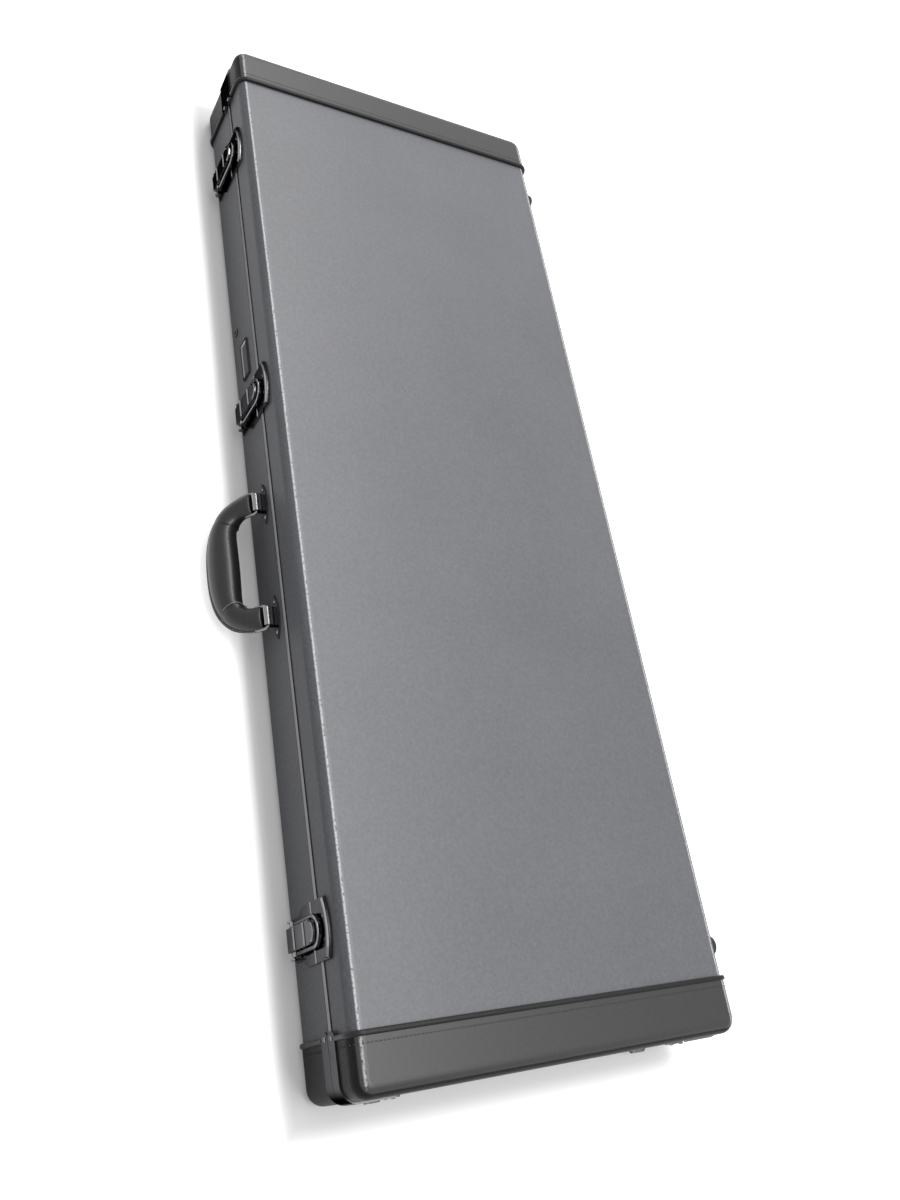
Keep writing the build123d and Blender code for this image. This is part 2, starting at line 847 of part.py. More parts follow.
def handle():
    """Rings, leather arms, padded grip and the stitched welt round the outside."""
    base = handle_plane()
    rings = {}
    for name, sign in (("head", -1), ("body", 1)):
        ring = handle_ring(handle_centre + sign * post_spacing / 2)
        rings[name] = ring.part
        save(ring, f"handle_ring_{name}")
    elbows = []
    for name, sign in (("head", -1), ("body", 1)):
        elbow = handle_elbow(sign, rings[name])
        elbows.append(elbow.part)
        save(elbow, f"handle_elbow_{name}")
    with BuildPart() as grip:
        for x, wide, thick in (
            (-grip_half_length, grip_half_width, grip_half_thickness),
            (0, grip_half_width + grip_crown, grip_half_thickness + grip_crown / 2),
            (grip_half_length, grip_half_width, grip_half_thickness),
        ):
            place = base.from_local_coords(Vector(x, grip_out, 0))
            with BuildSketch(Plane(origin=place, x_dir=base.y_dir, z_dir=base.x_dir)):
                Ellipse(wide, thick)
        loft()
    save(grip, "handle_grip")
    reach = grip_out + grip_half_width + grip_crown + welt_proud
    side = post_spacing / 2 + strap_half_width + welt_proud
    low = ring_reach + ring_wire + welt_gap
    with BuildPart() as welt:
        with BuildSketch(handle_plane(-welt_thickness / 2)) as outline:
            with BuildLine():
                Line((side, low), (-side, low))
                ThreePointArc((-side, low), (-welt_bend, welt_bend_out), (-welt_shoulder, welt_shoulder_out))
                ThreePointArc(
                    (-welt_shoulder, welt_shoulder_out), (0, reach), (welt_shoulder, welt_shoulder_out)
                )
                ThreePointArc((welt_shoulder, welt_shoulder_out), (welt_bend, welt_bend_out), (side, low))
            make_face()
            with BuildLine():
                inner = post_spacing / 2
                Polyline(
                    (-inner, 0),
                    (-inner, grip_out - elbow_radius),
                    (-grip_half_length, grip_out),
                    (grip_half_length, grip_out),
                    (inner, grip_out - elbow_radius),
                    (inner, 0),
                    close=True,
                )
            make_face(mode=Mode.SUBTRACT)
        extrude(amount=welt_thickness)
        add(grip.part, mode=Mode.SUBTRACT)
        for elbow in elbows:
            add(elbow, mode=Mode.SUBTRACT)
    save(welt, "handle_welt")


def rivets():
    """All rivet heads: one group on the base, one on the lid."""
    base_planes = strap_rivet_planes(base_strap_low) + hinge_rivet_planes(-1)
    lid_planes = strap_rivet_planes(lid_strap_low) + hinge_rivet_planes(1)
    for x in latch_stations.values():
        for height in plate_rivet_heights:
            base_planes.append(side_plane(x, height, plate_thickness))
        for sign in (-0.5, 0.5):
            rivet_x = x + sign * strike_rivet_spread
            lid_planes.append(side_plane(rivet_x, strike_rivet_height, strike_proud))
    for step in (-0.5, 0.5):
        for sign in (-0.5, 0.5):
            x = handle_centre + step * post_spacing + sign * post_rivet_spread
            base_planes.append(side_plane(x, pivot_height, post_thickness))
    save(rivet_group(base_planes), "base_rivets")
    save(rivet_group(lid_planes), "lid_rivets")


def side_fittings():
    """The blank label holder and the small eyelet beside it."""
    with BuildPart() as frame:
        with BuildSketch(side_plane(label_centre, label_height)):
            RectangleRounded(label_length, label_width, label_round)
            Rectangle(
                label_length - 2 * label_border, label_width - 2 * label_border, mode=Mode.SUBTRACT
            )
        extrude(amount=label_proud)
        chamfer(frame.faces().sort_by(Axis.Y)[0].inner_wires()[0].edges(), label_bevel)
    save(frame, "label_frame")
    with BuildPart() as card:
        with BuildSketch(side_plane(label_centre, label_height)):
            Rectangle(label_length - 2 * label_border, label_width - 2 * label_border)
        extrude(amount=label_card)
    save(card, "label_card")
    with BuildPart() as eyelet:
        with BuildSketch(side_plane(eyelet_centre, eyelet_height)):
            Circle(eyelet_radius)
            Circle(eyelet_bore, mode=Mode.SUBTRACT)
        extrude(amount=eyelet_proud)
        fillet(eyelet.faces().sort_by(Axis.Y)[0].outer_wire().edges(), eyelet_round)
    save(eyelet, "side_eyelet")


def foot_group(height):
    """Two domed rubber feet on the hinge side."""
    with BuildPart() as feet:
        for x in foot_stations:
            with BuildSketch(spine_plane(x, height)):
                Circle(foot_radius)
            extrude(amount=foot_height, taper=foot_taper_angle)
        outer = feet.faces().group_by(Axis.Y)[-1]
        fillet(outer.edges(), foot_round)
    return feet


def feet():
    """Rubber feet on the spine, metal glides on the body end."""
    save(foot_group(base_foot_height), "base_spine_feet")
    save(foot_group(lid_foot_height), "lid_spine_feet")
    with BuildPart() as glides:
        for sign in (-1, 1):
            place = (half_length + cap_thickness, sign * glide_spread / 2, glide_height)
            with BuildSketch(Plane(origin=place, z_dir=(1, 0, 0))):
                Circle(glide_radius)
            extrude(amount=glide_proud, taper=glide_taper_angle)
    save(glides, "body_end_glides")


def waist_pad(sign):
    """A foam block along one wall, hollowed for the bouts and full at the waist."""
    inner = half_width - wall - pad_gap
    end = half_length - wall - pad_gap - tail_pad_length - pad_gap
    with BuildPart() as pad:
        with BuildSketch(Plane.XY.offset(floor_top + lining)):
            with BuildLine():
                Line((waist_pad_start, inner), (waist_pad_start, inner - shoulder_depth))
                Spline(
                    (waist_pad_start, inner - shoulder_depth),
                    (waist_station - upper_bout_reach, inner - bout_depth - upper_bout_fill),
                    (waist_station, inner - waist_depth),
                    (waist_station + lower_bout_reach, inner - bout_depth),
                    (end, inner - bout_depth - lower_bout_fill),
                )
                Line((end, inner - bout_depth - lower_bout_fill), (end, inner))
                Line((end, inner), (waist_pad_start, inner))
            make_face()
        extrude(amount=pad_top - floor_top - lining)
        if sign < 0:
            mirror(about=Plane.XZ, mode=Mode.REPLACE)
    return pad


def interior():
    """Plush lining, pads, neck rest and the accessory box."""
    inner_length = shell_length - 2 * wall - 2 * pad_gap
    inner_width = shell_width - 2 * wall - 2 * pad_gap
    inner_half = inner_length / 2
    lining_top = floor_top + lining
    with BuildPart() as floor_lining:
        with BuildSketch(Plane.XY.offset(floor_top)):
            RectangleRounded(inner_length, inner_width, inner_corner - pad_gap)
        extrude(amount=lining)
    save(floor_lining, "floor_lining")
    save(waist_pad(-1), "waist_pad_handle_side")
    save(waist_pad(1), "waist_pad_hinge_side")
    with BuildPart() as tail_pad:
        with BuildSketch(Plane.XY.offset(lining_top)):
            with Locations((inner_half - tail_pad_length / 2, 0)):
                RectangleRounded(tail_pad_length, inner_width, inner_corner - pad_gap)
        extrude(amount=pad_top - lining_top)
        fillet(tail_pad.faces().sort_by(Axis.Z)[-1].edges(), pad_round)
    save(tail_pad, "tail_pad")
    with BuildPart() as head_pad:
        with BuildSketch(Plane.XY.offset(lining_top)):
            with Locations((-inner_half + head_pad_length / 2, 0)):
                RectangleRounded(head_pad_length, inner_width, inner_corner - pad_gap)
        extrude(amount=pad_top - lining_top)
        fillet(head_pad.faces().sort_by(Axis.Z)[-1].edges(), pad_round)
    save(head_pad, "head_pad")
    half_notch = neck_notch_width / 2
    notch_bottom = neck_rest_top - neck_notch_depth
    with BuildPart() as neck_rest:
        with BuildSketch(Plane.YZ.offset(neck_rest_station - neck_rest_length / 2)) as outline:
            with BuildLine():
                Polyline(
                    (-inner_width / 2, lining_top),
                    (-inner_width / 2, neck_rest_top),
                    (-half_notch, neck_rest_top),
                    (-half_notch + neck_notch_slope, notch_bottom),
                    (half_notch - neck_notch_slope, notch_bottom),
                    (half_notch, neck_rest_top),
                    (inner_width / 2, neck_rest_top),
                    (inner_width / 2, lining_top),
                    close=True,
                )
            make_face()
            raised = outline.vertices().filter_by_position(
                Axis.Z, notch_bottom - overcut, neck_rest_top + overcut
            )
            fillet(raised, neck_notch_round)
        extrude(amount=neck_rest_length)
    save(neck_rest, "neck_rest")
    accessory_box(lining_top, inner_width / 2)
    with BuildPart() as lid_pad:
        with BuildSketch(Plane.XY.offset(lid_ceiling - lid_pad_thickness)):
            RectangleRounded(inner_length, inner_width, inner_corner - pad_gap)
        extrude(amount=lid_pad_thickness)
        fillet(lid_pad.faces().sort_by(Axis.Z)[0].edges(), lid_pad_round)
    save(lid_pad, "lid_pad")


def accessory_box(lining_top, wall_y):
    """An open box against the hinge-side wall, its lid and a pull tab."""
    length = box_end - box_start
    middle = (box_start + box_end) / 2
    depth = wall_y - box_inner_side
    axis_y = wall_y - box_hinge_inset
    half_thick = box_lid_thickness / 2
    lid_low = box_top + box_lid_gap
    with BuildPart() as box:
        with BuildSketch(Plane.XY.offset(lining_top)):
            with Locations((middle, box_inner_side + depth / 2)):
                Rectangle(length, depth)
                Rectangle(length - 2 * box_wall, depth - 2 * box_wall, mode=Mode.SUBTRACT)
        extrude(amount=box_top - lining_top)
        rail = box_hinge_inset - half_thick - box_lid_clearance
        with BuildSketch(Plane.XY.offset(box_top)):
            with Locations((middle, wall_y - rail / 2)):
                Rectangle(length, rail)
        extrude(amount=box_lid_gap + box_lid_thickness)
    save(box, "accessory_box")
    with BuildPart() as lid:
        with BuildSketch(Plane.YZ.offset(box_start)):
            with BuildLine():
                Line((axis_y, lid_low + box_lid_thickness), (box_inner_side, lid_low + box_lid_thickness))
                Line((box_inner_side, lid_low + box_lid_thickness), (box_inner_side, lid_low))
                Line((box_inner_side, lid_low), (axis_y, lid_low))
                CenterArc((axis_y, lid_low + half_thick), half_thick, -90, 180)
            make_face()
        extrude(amount=length)
    save(lid, "accessory_lid")
    with BuildPart() as tab:
        with BuildSketch(Plane.XY.offset(lid_low + box_lid_thickness)):
            with Locations((middle, box_inner_side - pull_tab_overhang + pull_tab_width / 2)):
                RectangleRounded(pull_tab_length, pull_tab_width, pull_tab_round)
        extrude(amount=pull_tab_thickness)
    save(tab, "accessory_pull_tab")


base_shell()
lid_shell()
valances()
end_caps()
piping()
corner_straps()
hinges()
latches()
handle_posts()
handle()
rivets()
side_fittings()
feet()
interior()
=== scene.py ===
"""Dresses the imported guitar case: studio, finishes, stitching, padded handle and lining."""

import json
import logging
import math
from abc import ABC, abstractmethod
from dataclasses import dataclass, field
from enum import Enum, auto
from typing import Any, Callable, Iterable, Sequence, Union

import bpy
from mathutils import Matrix, Vector


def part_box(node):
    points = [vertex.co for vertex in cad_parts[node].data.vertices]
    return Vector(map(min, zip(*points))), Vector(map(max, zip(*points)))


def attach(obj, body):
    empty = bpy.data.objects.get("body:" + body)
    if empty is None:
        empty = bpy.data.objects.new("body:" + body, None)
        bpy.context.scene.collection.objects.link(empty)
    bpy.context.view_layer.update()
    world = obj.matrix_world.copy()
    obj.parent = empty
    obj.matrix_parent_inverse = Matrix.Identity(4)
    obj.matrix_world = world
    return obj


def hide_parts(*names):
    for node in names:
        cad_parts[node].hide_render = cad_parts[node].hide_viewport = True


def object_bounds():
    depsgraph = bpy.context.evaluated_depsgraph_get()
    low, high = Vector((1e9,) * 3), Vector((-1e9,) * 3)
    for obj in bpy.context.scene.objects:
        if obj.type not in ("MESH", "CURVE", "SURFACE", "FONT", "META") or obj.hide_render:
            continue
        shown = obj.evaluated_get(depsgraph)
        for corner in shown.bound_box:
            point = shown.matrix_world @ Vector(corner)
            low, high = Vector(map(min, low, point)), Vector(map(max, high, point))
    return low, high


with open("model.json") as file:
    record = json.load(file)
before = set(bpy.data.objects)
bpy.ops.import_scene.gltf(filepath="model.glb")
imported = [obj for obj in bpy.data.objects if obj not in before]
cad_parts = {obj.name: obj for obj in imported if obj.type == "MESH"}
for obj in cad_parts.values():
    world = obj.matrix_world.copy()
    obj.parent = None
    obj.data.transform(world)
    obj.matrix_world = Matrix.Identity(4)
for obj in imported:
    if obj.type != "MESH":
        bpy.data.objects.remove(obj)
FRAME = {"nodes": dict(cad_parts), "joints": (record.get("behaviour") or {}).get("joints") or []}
CAD_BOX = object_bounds()
LOG = logging.getLogger("guitar_case")
MM = 0.001
MERGE_DISTANCE = 0.01 * MM

Colour = tuple[float, float, float]
Place = tuple[float, float, float]
Value = Union["Socket", float, int, tuple[float, ...]]
EVEN: Place = (1.0, 1.0, 1.0)


def pick(*objects: bpy.types.Object) -> None:
    """Selects only these objects and makes the last one active.

    Args:
        objects: What the next operator works on.
    """
    bpy.ops.object.select_all(action="DESELECT")
    for obj in objects:
        obj.select_set(True)
    bpy.context.view_layer.objects.active = objects[-1]


def settle(obj: bpy.types.Object, name: str) -> bpy.types.Object:
    """Applies an object's modifiers and its place, and names it.

    Args:
        obj: The object to finish.
        name: The finished piece's name.

    Returns:
        The same object, at the origin, with its place in its mesh.
    """
    pick(obj)
    for modifier in list(obj.modifiers):
        bpy.ops.object.modifier_apply(modifier=modifier.name)
    bpy.ops.object.transform_apply(location=True, rotation=True, scale=True)
    obj.name = name
    obj.data.name = name
    return obj


def merge(objects: Sequence[bpy.types.Object], name: str) -> bpy.types.Object:
    """Joins several mesh objects into one.

    Args:
        objects: The objects to join.
        name: The joined piece's name.

    Returns:
        The joined object.
    """
    pick(*objects)
    bpy.ops.object.join()
    return settle(bpy.context.object, name)


def face_outwards(obj: bpy.types.Object) -> None:
    """Merges doubled vertices and turns every face of a mesh outwards.

    Args:
        obj: The mesh object.
    """
    pick(obj)
    bpy.ops.object.mode_set(mode="EDIT")
    bpy.ops.mesh.select_all(action="SELECT")
    bpy.ops.mesh.remove_doubles(threshold=MERGE_DISTANCE)
    bpy.ops.mesh.normals_make_consistent(inside=False)
    bpy.ops.object.mode_set(mode="OBJECT")


def modifier(obj: bpy.types.Object, kind: str, **settings: Any) -> bpy.types.Modifier:
    """Adds a modifier and sets it up.

    Args:
        obj: The object that gets it.
        kind: Blender's name for the modifier's type.
        settings: The modifier's properties.

    Returns:
        The new modifier.
    """
    added = obj.modifiers.new(kind.title(), kind)
    for key, value in settings.items():
        setattr(added, key, value)
    return added


def paint(obj: bpy.types.Object, material: bpy.types.Material) -> None:
    """Gives an object one material all over.

    Args:
        obj: The object.
        material: What it wears from now on.
    """
    if obj.material_slots:
        for slot in obj.material_slots:
            slot.material = material
    else:
        obj.data.materials.append(material)


def sum_of(operation: str, flipped: bool = False) -> Callable[["Socket", Value], "Socket"]:
    """Makes one of the sums that a Socket takes part in.

    Args:
        operation: Blender's name for the sum.
        flipped: Whether the other value comes first.

    Returns:
        The method, which adds one Math node.
    """

    def method(self: "Socket", other: Value) -> "Socket":
        """Adds the node and returns its result."""
        left, right = (other, self) if flipped else (self, other)
        return self.graph.add("ShaderNodeMath", {"operation": operation}, {0: left, 1: right})

    return method


@dataclass(frozen=True)
class Socket:
    """A value of the shader graph that takes part in Python sums."""

    graph: "Graph"
    port: bpy.types.NodeSocket | None

    __add__, __radd__ = sum_of("ADD"), sum_of("ADD", flipped=True)
    __sub__, __rsub__ = sum_of("SUBTRACT"), sum_of("SUBTRACT", flipped=True)
    __mul__, __rmul__ = sum_of("MULTIPLY"), sum_of("MULTIPLY", flipped=True)
    __truediv__ = sum_of("DIVIDE")
    at_most, at_least = sum_of("MINIMUM"), sum_of("MAXIMUM")

    def __abs__(self) -> "Socket":
        """Returns the size of self without its sign."""
        return self.graph.add("ShaderNodeMath", {"operation": "ABSOLUTE"}, {0: self})

    def fade(self, start: float, end: float) -> "Socket":
        """Rises smoothly from 0 at start to 1 at end, and may run backwards.

        Args:
            start: Where the result is 0.
            end: Where the result is 1.

        Returns:
            A mask between 0 and 1.
        """
        return self.graph.add(
            "ShaderNodeMapRange",
            {"interpolation_type": "SMOOTHSTEP"},
            {"Value": self, "From Min": start, "From Max": end},
        )


@dataclass(frozen=True)
class Graph:
    """A node tree that is built from Python expressions."""

    tree: bpy.types.NodeTree

    def __post_init__(self) -> None:
        """Empties the tree."""
        self.tree.nodes.clear()

    def add(
        self,
        kind: str,
        settings: dict[str, Any] | None = None,
        sockets: dict[Union[str, int], Value] | None = None,
        output: Union[str, int] = 0,
    ) -> Socket:
        """Adds a node, sets its properties and then its sockets.

        Args:
            kind: Blender's name for the node's type.
            settings: The node's properties.
            sockets: Values or links for its inputs, by name or number.
            output: Which output to return.

        Returns:
            The chosen output.
        """
        node = self.tree.nodes.new(kind)
        for key, value in (settings or {}).items():
            setattr(node, key, value)
        for key, value in (sockets or {}).items():
            port = node.inputs[key]
            if isinstance(value, Socket):
                self.tree.links.new(value.port, port)
            elif isinstance(value, tuple) and len(port.default_value) > len(value):
                port.default_value = (*value, 1.0)
            else:
                port.default_value = value
        return Socket(self, node.outputs[output] if len(node.outputs) else None)

    def place(self) -> Socket:
        """Returns the point on the object, in metres in the row frame."""
        return self.add("ShaderNodeTexCoord", output="Object")

    def axis(self, letter: str) -> Socket:
        """Returns one coordinate of the point, named X, Y or Z, in metres."""
        return self.add("ShaderNodeSeparateXYZ", sockets={0: self.place()}, output=letter)

    def clouds(self, scale: float, detail: float = 3.0, stretch: Place = EVEN) -> Socket:
        """Soft noise between 0 and 1.

        Args:
            scale: Lumps to the metre.
            detail: Octaves of finer noise.
            stretch: How much the point is scaled along each axis first.

        Returns:
            The noise.
        """
        point = self.add("ShaderNodeMapping", {}, {"Vector": self.place(), "Scale": stretch})
        sockets = {"Vector": point, "Scale": scale, "Detail": detail}
        return self.add("ShaderNodeTexNoise", {}, sockets)

    def pebbles(self, scale: float, smoothness: float = 0.6) -> Socket:
        """Rounded cells.

        Args:
            scale: Cells to the metre.
            smoothness: How softly they run into each other.

        Returns:
            The distance from a cell's middle, 0 there.
        """
        return self.add(
            "ShaderNodeTexVoronoi",
            {"feature": "SMOOTH_F1"},
            {"Vector": self.place(), "Scale": scale, "Smoothness": smoothness},
        )

    def blend(self, factor: Value, first: Value, second: Value) -> Socket:
        """Mixes two colours, the second showing where the factor is 1."""
        sockets = {0: factor, 6: first, 7: second}
        return self.add("ShaderNodeMix", {"data_type": "RGBA"}, sockets, output=2)

    def bump(self, height: Socket, distance: float) -> Socket:
        """Turns a height between 0 and 1 into a normal, its relief that many metres deep."""
        sockets = {"Height": height, "Distance": distance, "Strength": 1.0}
        return self.add("ShaderNodeBump", {}, sockets)

    def surface(self, **sockets: Value) -> Socket:
        """Adds a Principled surface whose sockets are given by name, with _ for a space."""
        named = {key.replace("_", " "): value for key, value in sockets.items()}
        return self.add("ShaderNodeBsdfPrincipled", {}, named)

    def layer(self, factor: Value, first: Socket, second: Socket) -> Socket:
        """Mixes two surfaces, the second showing where the factor is 1."""
        return self.add("ShaderNodeMixShader", {}, {0: factor, 1: first, 2: second})


def make_material(name: str, shade: Callable[[Graph], Socket]) -> bpy.types.Material:
    """Makes a material.

    Args:
        name: The material's name.
        shade: Builds its surface in a graph.

    Returns:
        The material.
    """
    material = bpy.data.materials.new(name)
    material.use_nodes = True
    graph = Graph(material.node_tree)
    graph.add("ShaderNodeOutputMaterial", {}, {0: shade(graph)})
    return material


@dataclass(frozen=True)
class Coat(ABC):
    """What a piece is covered with."""

    name: str
    colour: Colour

    @abstractmethod
    def shade(self, graph: Graph) -> Socket:
        """Builds the surface.

        Args:
            graph: The graph to build in.

        Returns:
            The surface.
        """

    def material(self) -> bpy.types.Material:
        """Makes a material that looks like this all over."""
        return make_material(self.name, self.shade)


@dataclass(frozen=True)
class Hide(Coat):
    """Leather, or vinyl with a leather grain."""

    pale: Colour
    drift: float = 0.35
    grain: float = 620.0
    relief: float = 0.00018
    roughness: float = 0.42
    gloss: float = 0.08
    wax_roughness: float = 0.41
    wax_index: float = 1.54
    mottle: float = 0.9

    def shade(
        self, graph: Graph, worn: Value = 0.0, sunk: Value = 0.0, polished: Value = 0.0
    ) -> Socket:
        """Builds the surface.

        Args:
            graph: The graph to build in.
            worn: A mask of where the surface is worn pale.
            sunk: A mask of where it is pressed in; its colour is painted darker there as shade.
            polished: A mask of where wax and handling have given it a satin coat.

        Returns:
            The surface.
        """
        cloud = graph.clouds(9.0, 4.0)
        shine = polished if isinstance(polished, Socket) else cloud.fade(0.0, 1.0) * polished
        fine = graph.clouds(self.grain * 2.5, 2.0)
        cells = graph.pebbles(self.grain)
        wrinkle = graph.clouds(90.0, 5.0)
        spots = graph.clouds(self.grain * 0.7, 3.0)
        mixed = (cloud - 0.5) * self.drift + (spots - 0.5) * self.mottle + 0.25 * fine + 0.1
        tint = graph.blend(mixed.at_least(0.0).at_most(1.0), self.colour, self.pale)
        colour = graph.blend(worn, tint, self.pale)
        # Where the surface is pressed in, its colour is painted darker as shade.
        dark = tuple(channel * 0.35 for channel in self.colour)
        colour = graph.blend(sunk, colour, dark)
        height = (1.0 - cells) * 0.6 + fine * 0.15 + wrinkle * 0.5 - sunk * 2.5
        rough = self.roughness + (cloud - 0.5) * 0.12 + (cells - 0.4) * 0.08
        rough = rough - worn * 0.16 + sunk * 0.3
        return graph.surface(
            Base_Color=colour,
            Roughness=rough,
            Normal=graph.bump(height, self.relief),
            Specular_IOR_Level=self.gloss,
            Coat_Weight=shine,
            Coat_Roughness=self.wax_roughness,
            Coat_IOR=self.wax_index,
        )


@dataclass(frozen=True)
class Metal(Coat):
    """Plated or unplated metal with fine scratches and a little haze."""

    roughness: float
    haze: float = 0.08
    scratch_stretch: Place = EVEN
    scratch_depth: float = 0.000006
    slant_tint: float = 0.05

    def shade(self, graph: Graph) -> Socket:
        """Builds the surface.

        Args:
            graph: The graph to build in.

        Returns:
            The surface.
        """
        haze = graph.clouds(55.0, 4.0)
        scratches = graph.clouds(900.0, 3.0, self.scratch_stretch)
        dull = tuple(channel * 0.72 for channel in self.colour)
        colour = graph.blend(haze.fade(0.45, 0.8) * 0.5, self.colour, dull)
        rough = self.roughness + haze.fade(0.4, 0.75) * self.haze + scratches * 0.04
        relief = graph.bump(scratches, self.scratch_depth)
        slant = (self.slant_tint,) * 3
        return graph.surface(
            Base_Color=colour, Metallic=1.0, Roughness=rough, Normal=relief, Specular_Tint=slant
        )


@dataclass(frozen=True)
class Plush(Coat):
    """Short dense pile, glued over foam or board."""

    tip: Colour
    pile: float = 1500.0
    relief: float = 0.0007

    def shade(self, graph: Graph) -> Socket:
        """Builds the surface.

        Args:
            graph: The graph to build in.

        Returns:
            The surface.
        """
        strands = graph.clouds(self.pile, 2.0)
        brushed = graph.clouds(22.0, 3.0, (1.0, 0.5, 1.0))
        tint = graph.blend(brushed.fade(0.35, 0.7) * 0.5 + strands * 0.4, self.colour, self.tip)
        return graph.surface(
            Base_Color=tint,
            Roughness=0.9 - brushed * 0.1,
            Normal=graph.bump(strands + brushed * 0.8, self.relief),
            Sheen_Weight=0.6,
            Sheen_Roughness=0.5,
            Specular_IOR_Level=0.2,
        )


@dataclass(frozen=True)
class Moulded(Coat):
    """Plain rubber, paint or card with a faint texture."""

    roughness: float
    grain: float = 1400.0
    relief: float = 0.00003

    def shade(self, graph: Graph) -> Socket:
        """Builds the surface.

        Args:
            graph: The graph to build in.

        Returns:
            The surface.
        """
        speck = graph.clouds(self.grain, 3.0)
        dust = graph.clouds(60.0, 4.0)
        pale = tuple(min(1.0, channel * 1.6 + 0.01) for channel in self.colour)
        return graph.surface(
            Base_Color=graph.blend(dust.fade(0.5, 0.8) * 0.5, self.colour, pale),
            Roughness=self.roughness + (speck - 0.5) * 0.15,
            Normal=graph.bump(speck, self.relief),
        )


class Wear(Enum):
    """The finishes that pieces of the case wear."""

    COVERED = auto()
    ENDS = auto()
    GRIP = auto()
    CORD = auto()
    PILE = auto()
    NICKEL = auto()
    DARK_NICKEL = auto()
    RIM = auto()
    BLACK = auto()
    RUBBER = auto()
    CARD = auto()
    THREAD = auto()
    RAW_EDGE = auto()


PLAIN: dict[Wear, Coat] = {
    Wear.CORD: Hide(
        "piping_leather", (0.010, 0.010, 0.011), (0.04, 0.04, 0.042), grain=900.0,
        roughness=0.36, gloss=0.22,
    ),
    Wear.PILE: Plush("black_plush", (0.010, 0.010, 0.012), (0.035, 0.035, 0.040)),
    # Both nickels are painted darker than plain nickel, standing in for dark reflections; the
    # second is a darker copy of the same nickel.
    Wear.NICKEL: Metal("nickel_painted_dark", (0.235, 0.235, 0.24), 0.08, haze=0.05),
    Wear.DARK_NICKEL: Metal("shaded_nickel", (0.185, 0.185, 0.19), 0.10, haze=0.05),
    Wear.RIM: Metal("rim_metal", (0.22, 0.22, 0.225), 0.26, scratch_stretch=(0.05, 1.0, 1.0)),
    Wear.BLACK: Moulded("blackened_metal", (0.012, 0.012, 0.013), 0.35),
    Wear.RUBBER: Moulded("foot_rubber", (0.014, 0.014, 0.015), 0.62),
    Wear.CARD: Moulded("blank_card", (0.022, 0.022, 0.024), 0.7),
    Wear.THREAD: Moulded("waxed_thread", (0.030, 0.030, 0.032), 0.5, grain=4000.0),
    # Pale thread for the handle's stitches, also used as a painted highlight along the tongue's
    # edge.
    Wear.RAW_EDGE: Moulded("pale_thread_and_painted_highlight", (0.17, 0.17, 0.175), 0.4, grain=3000.0),
}


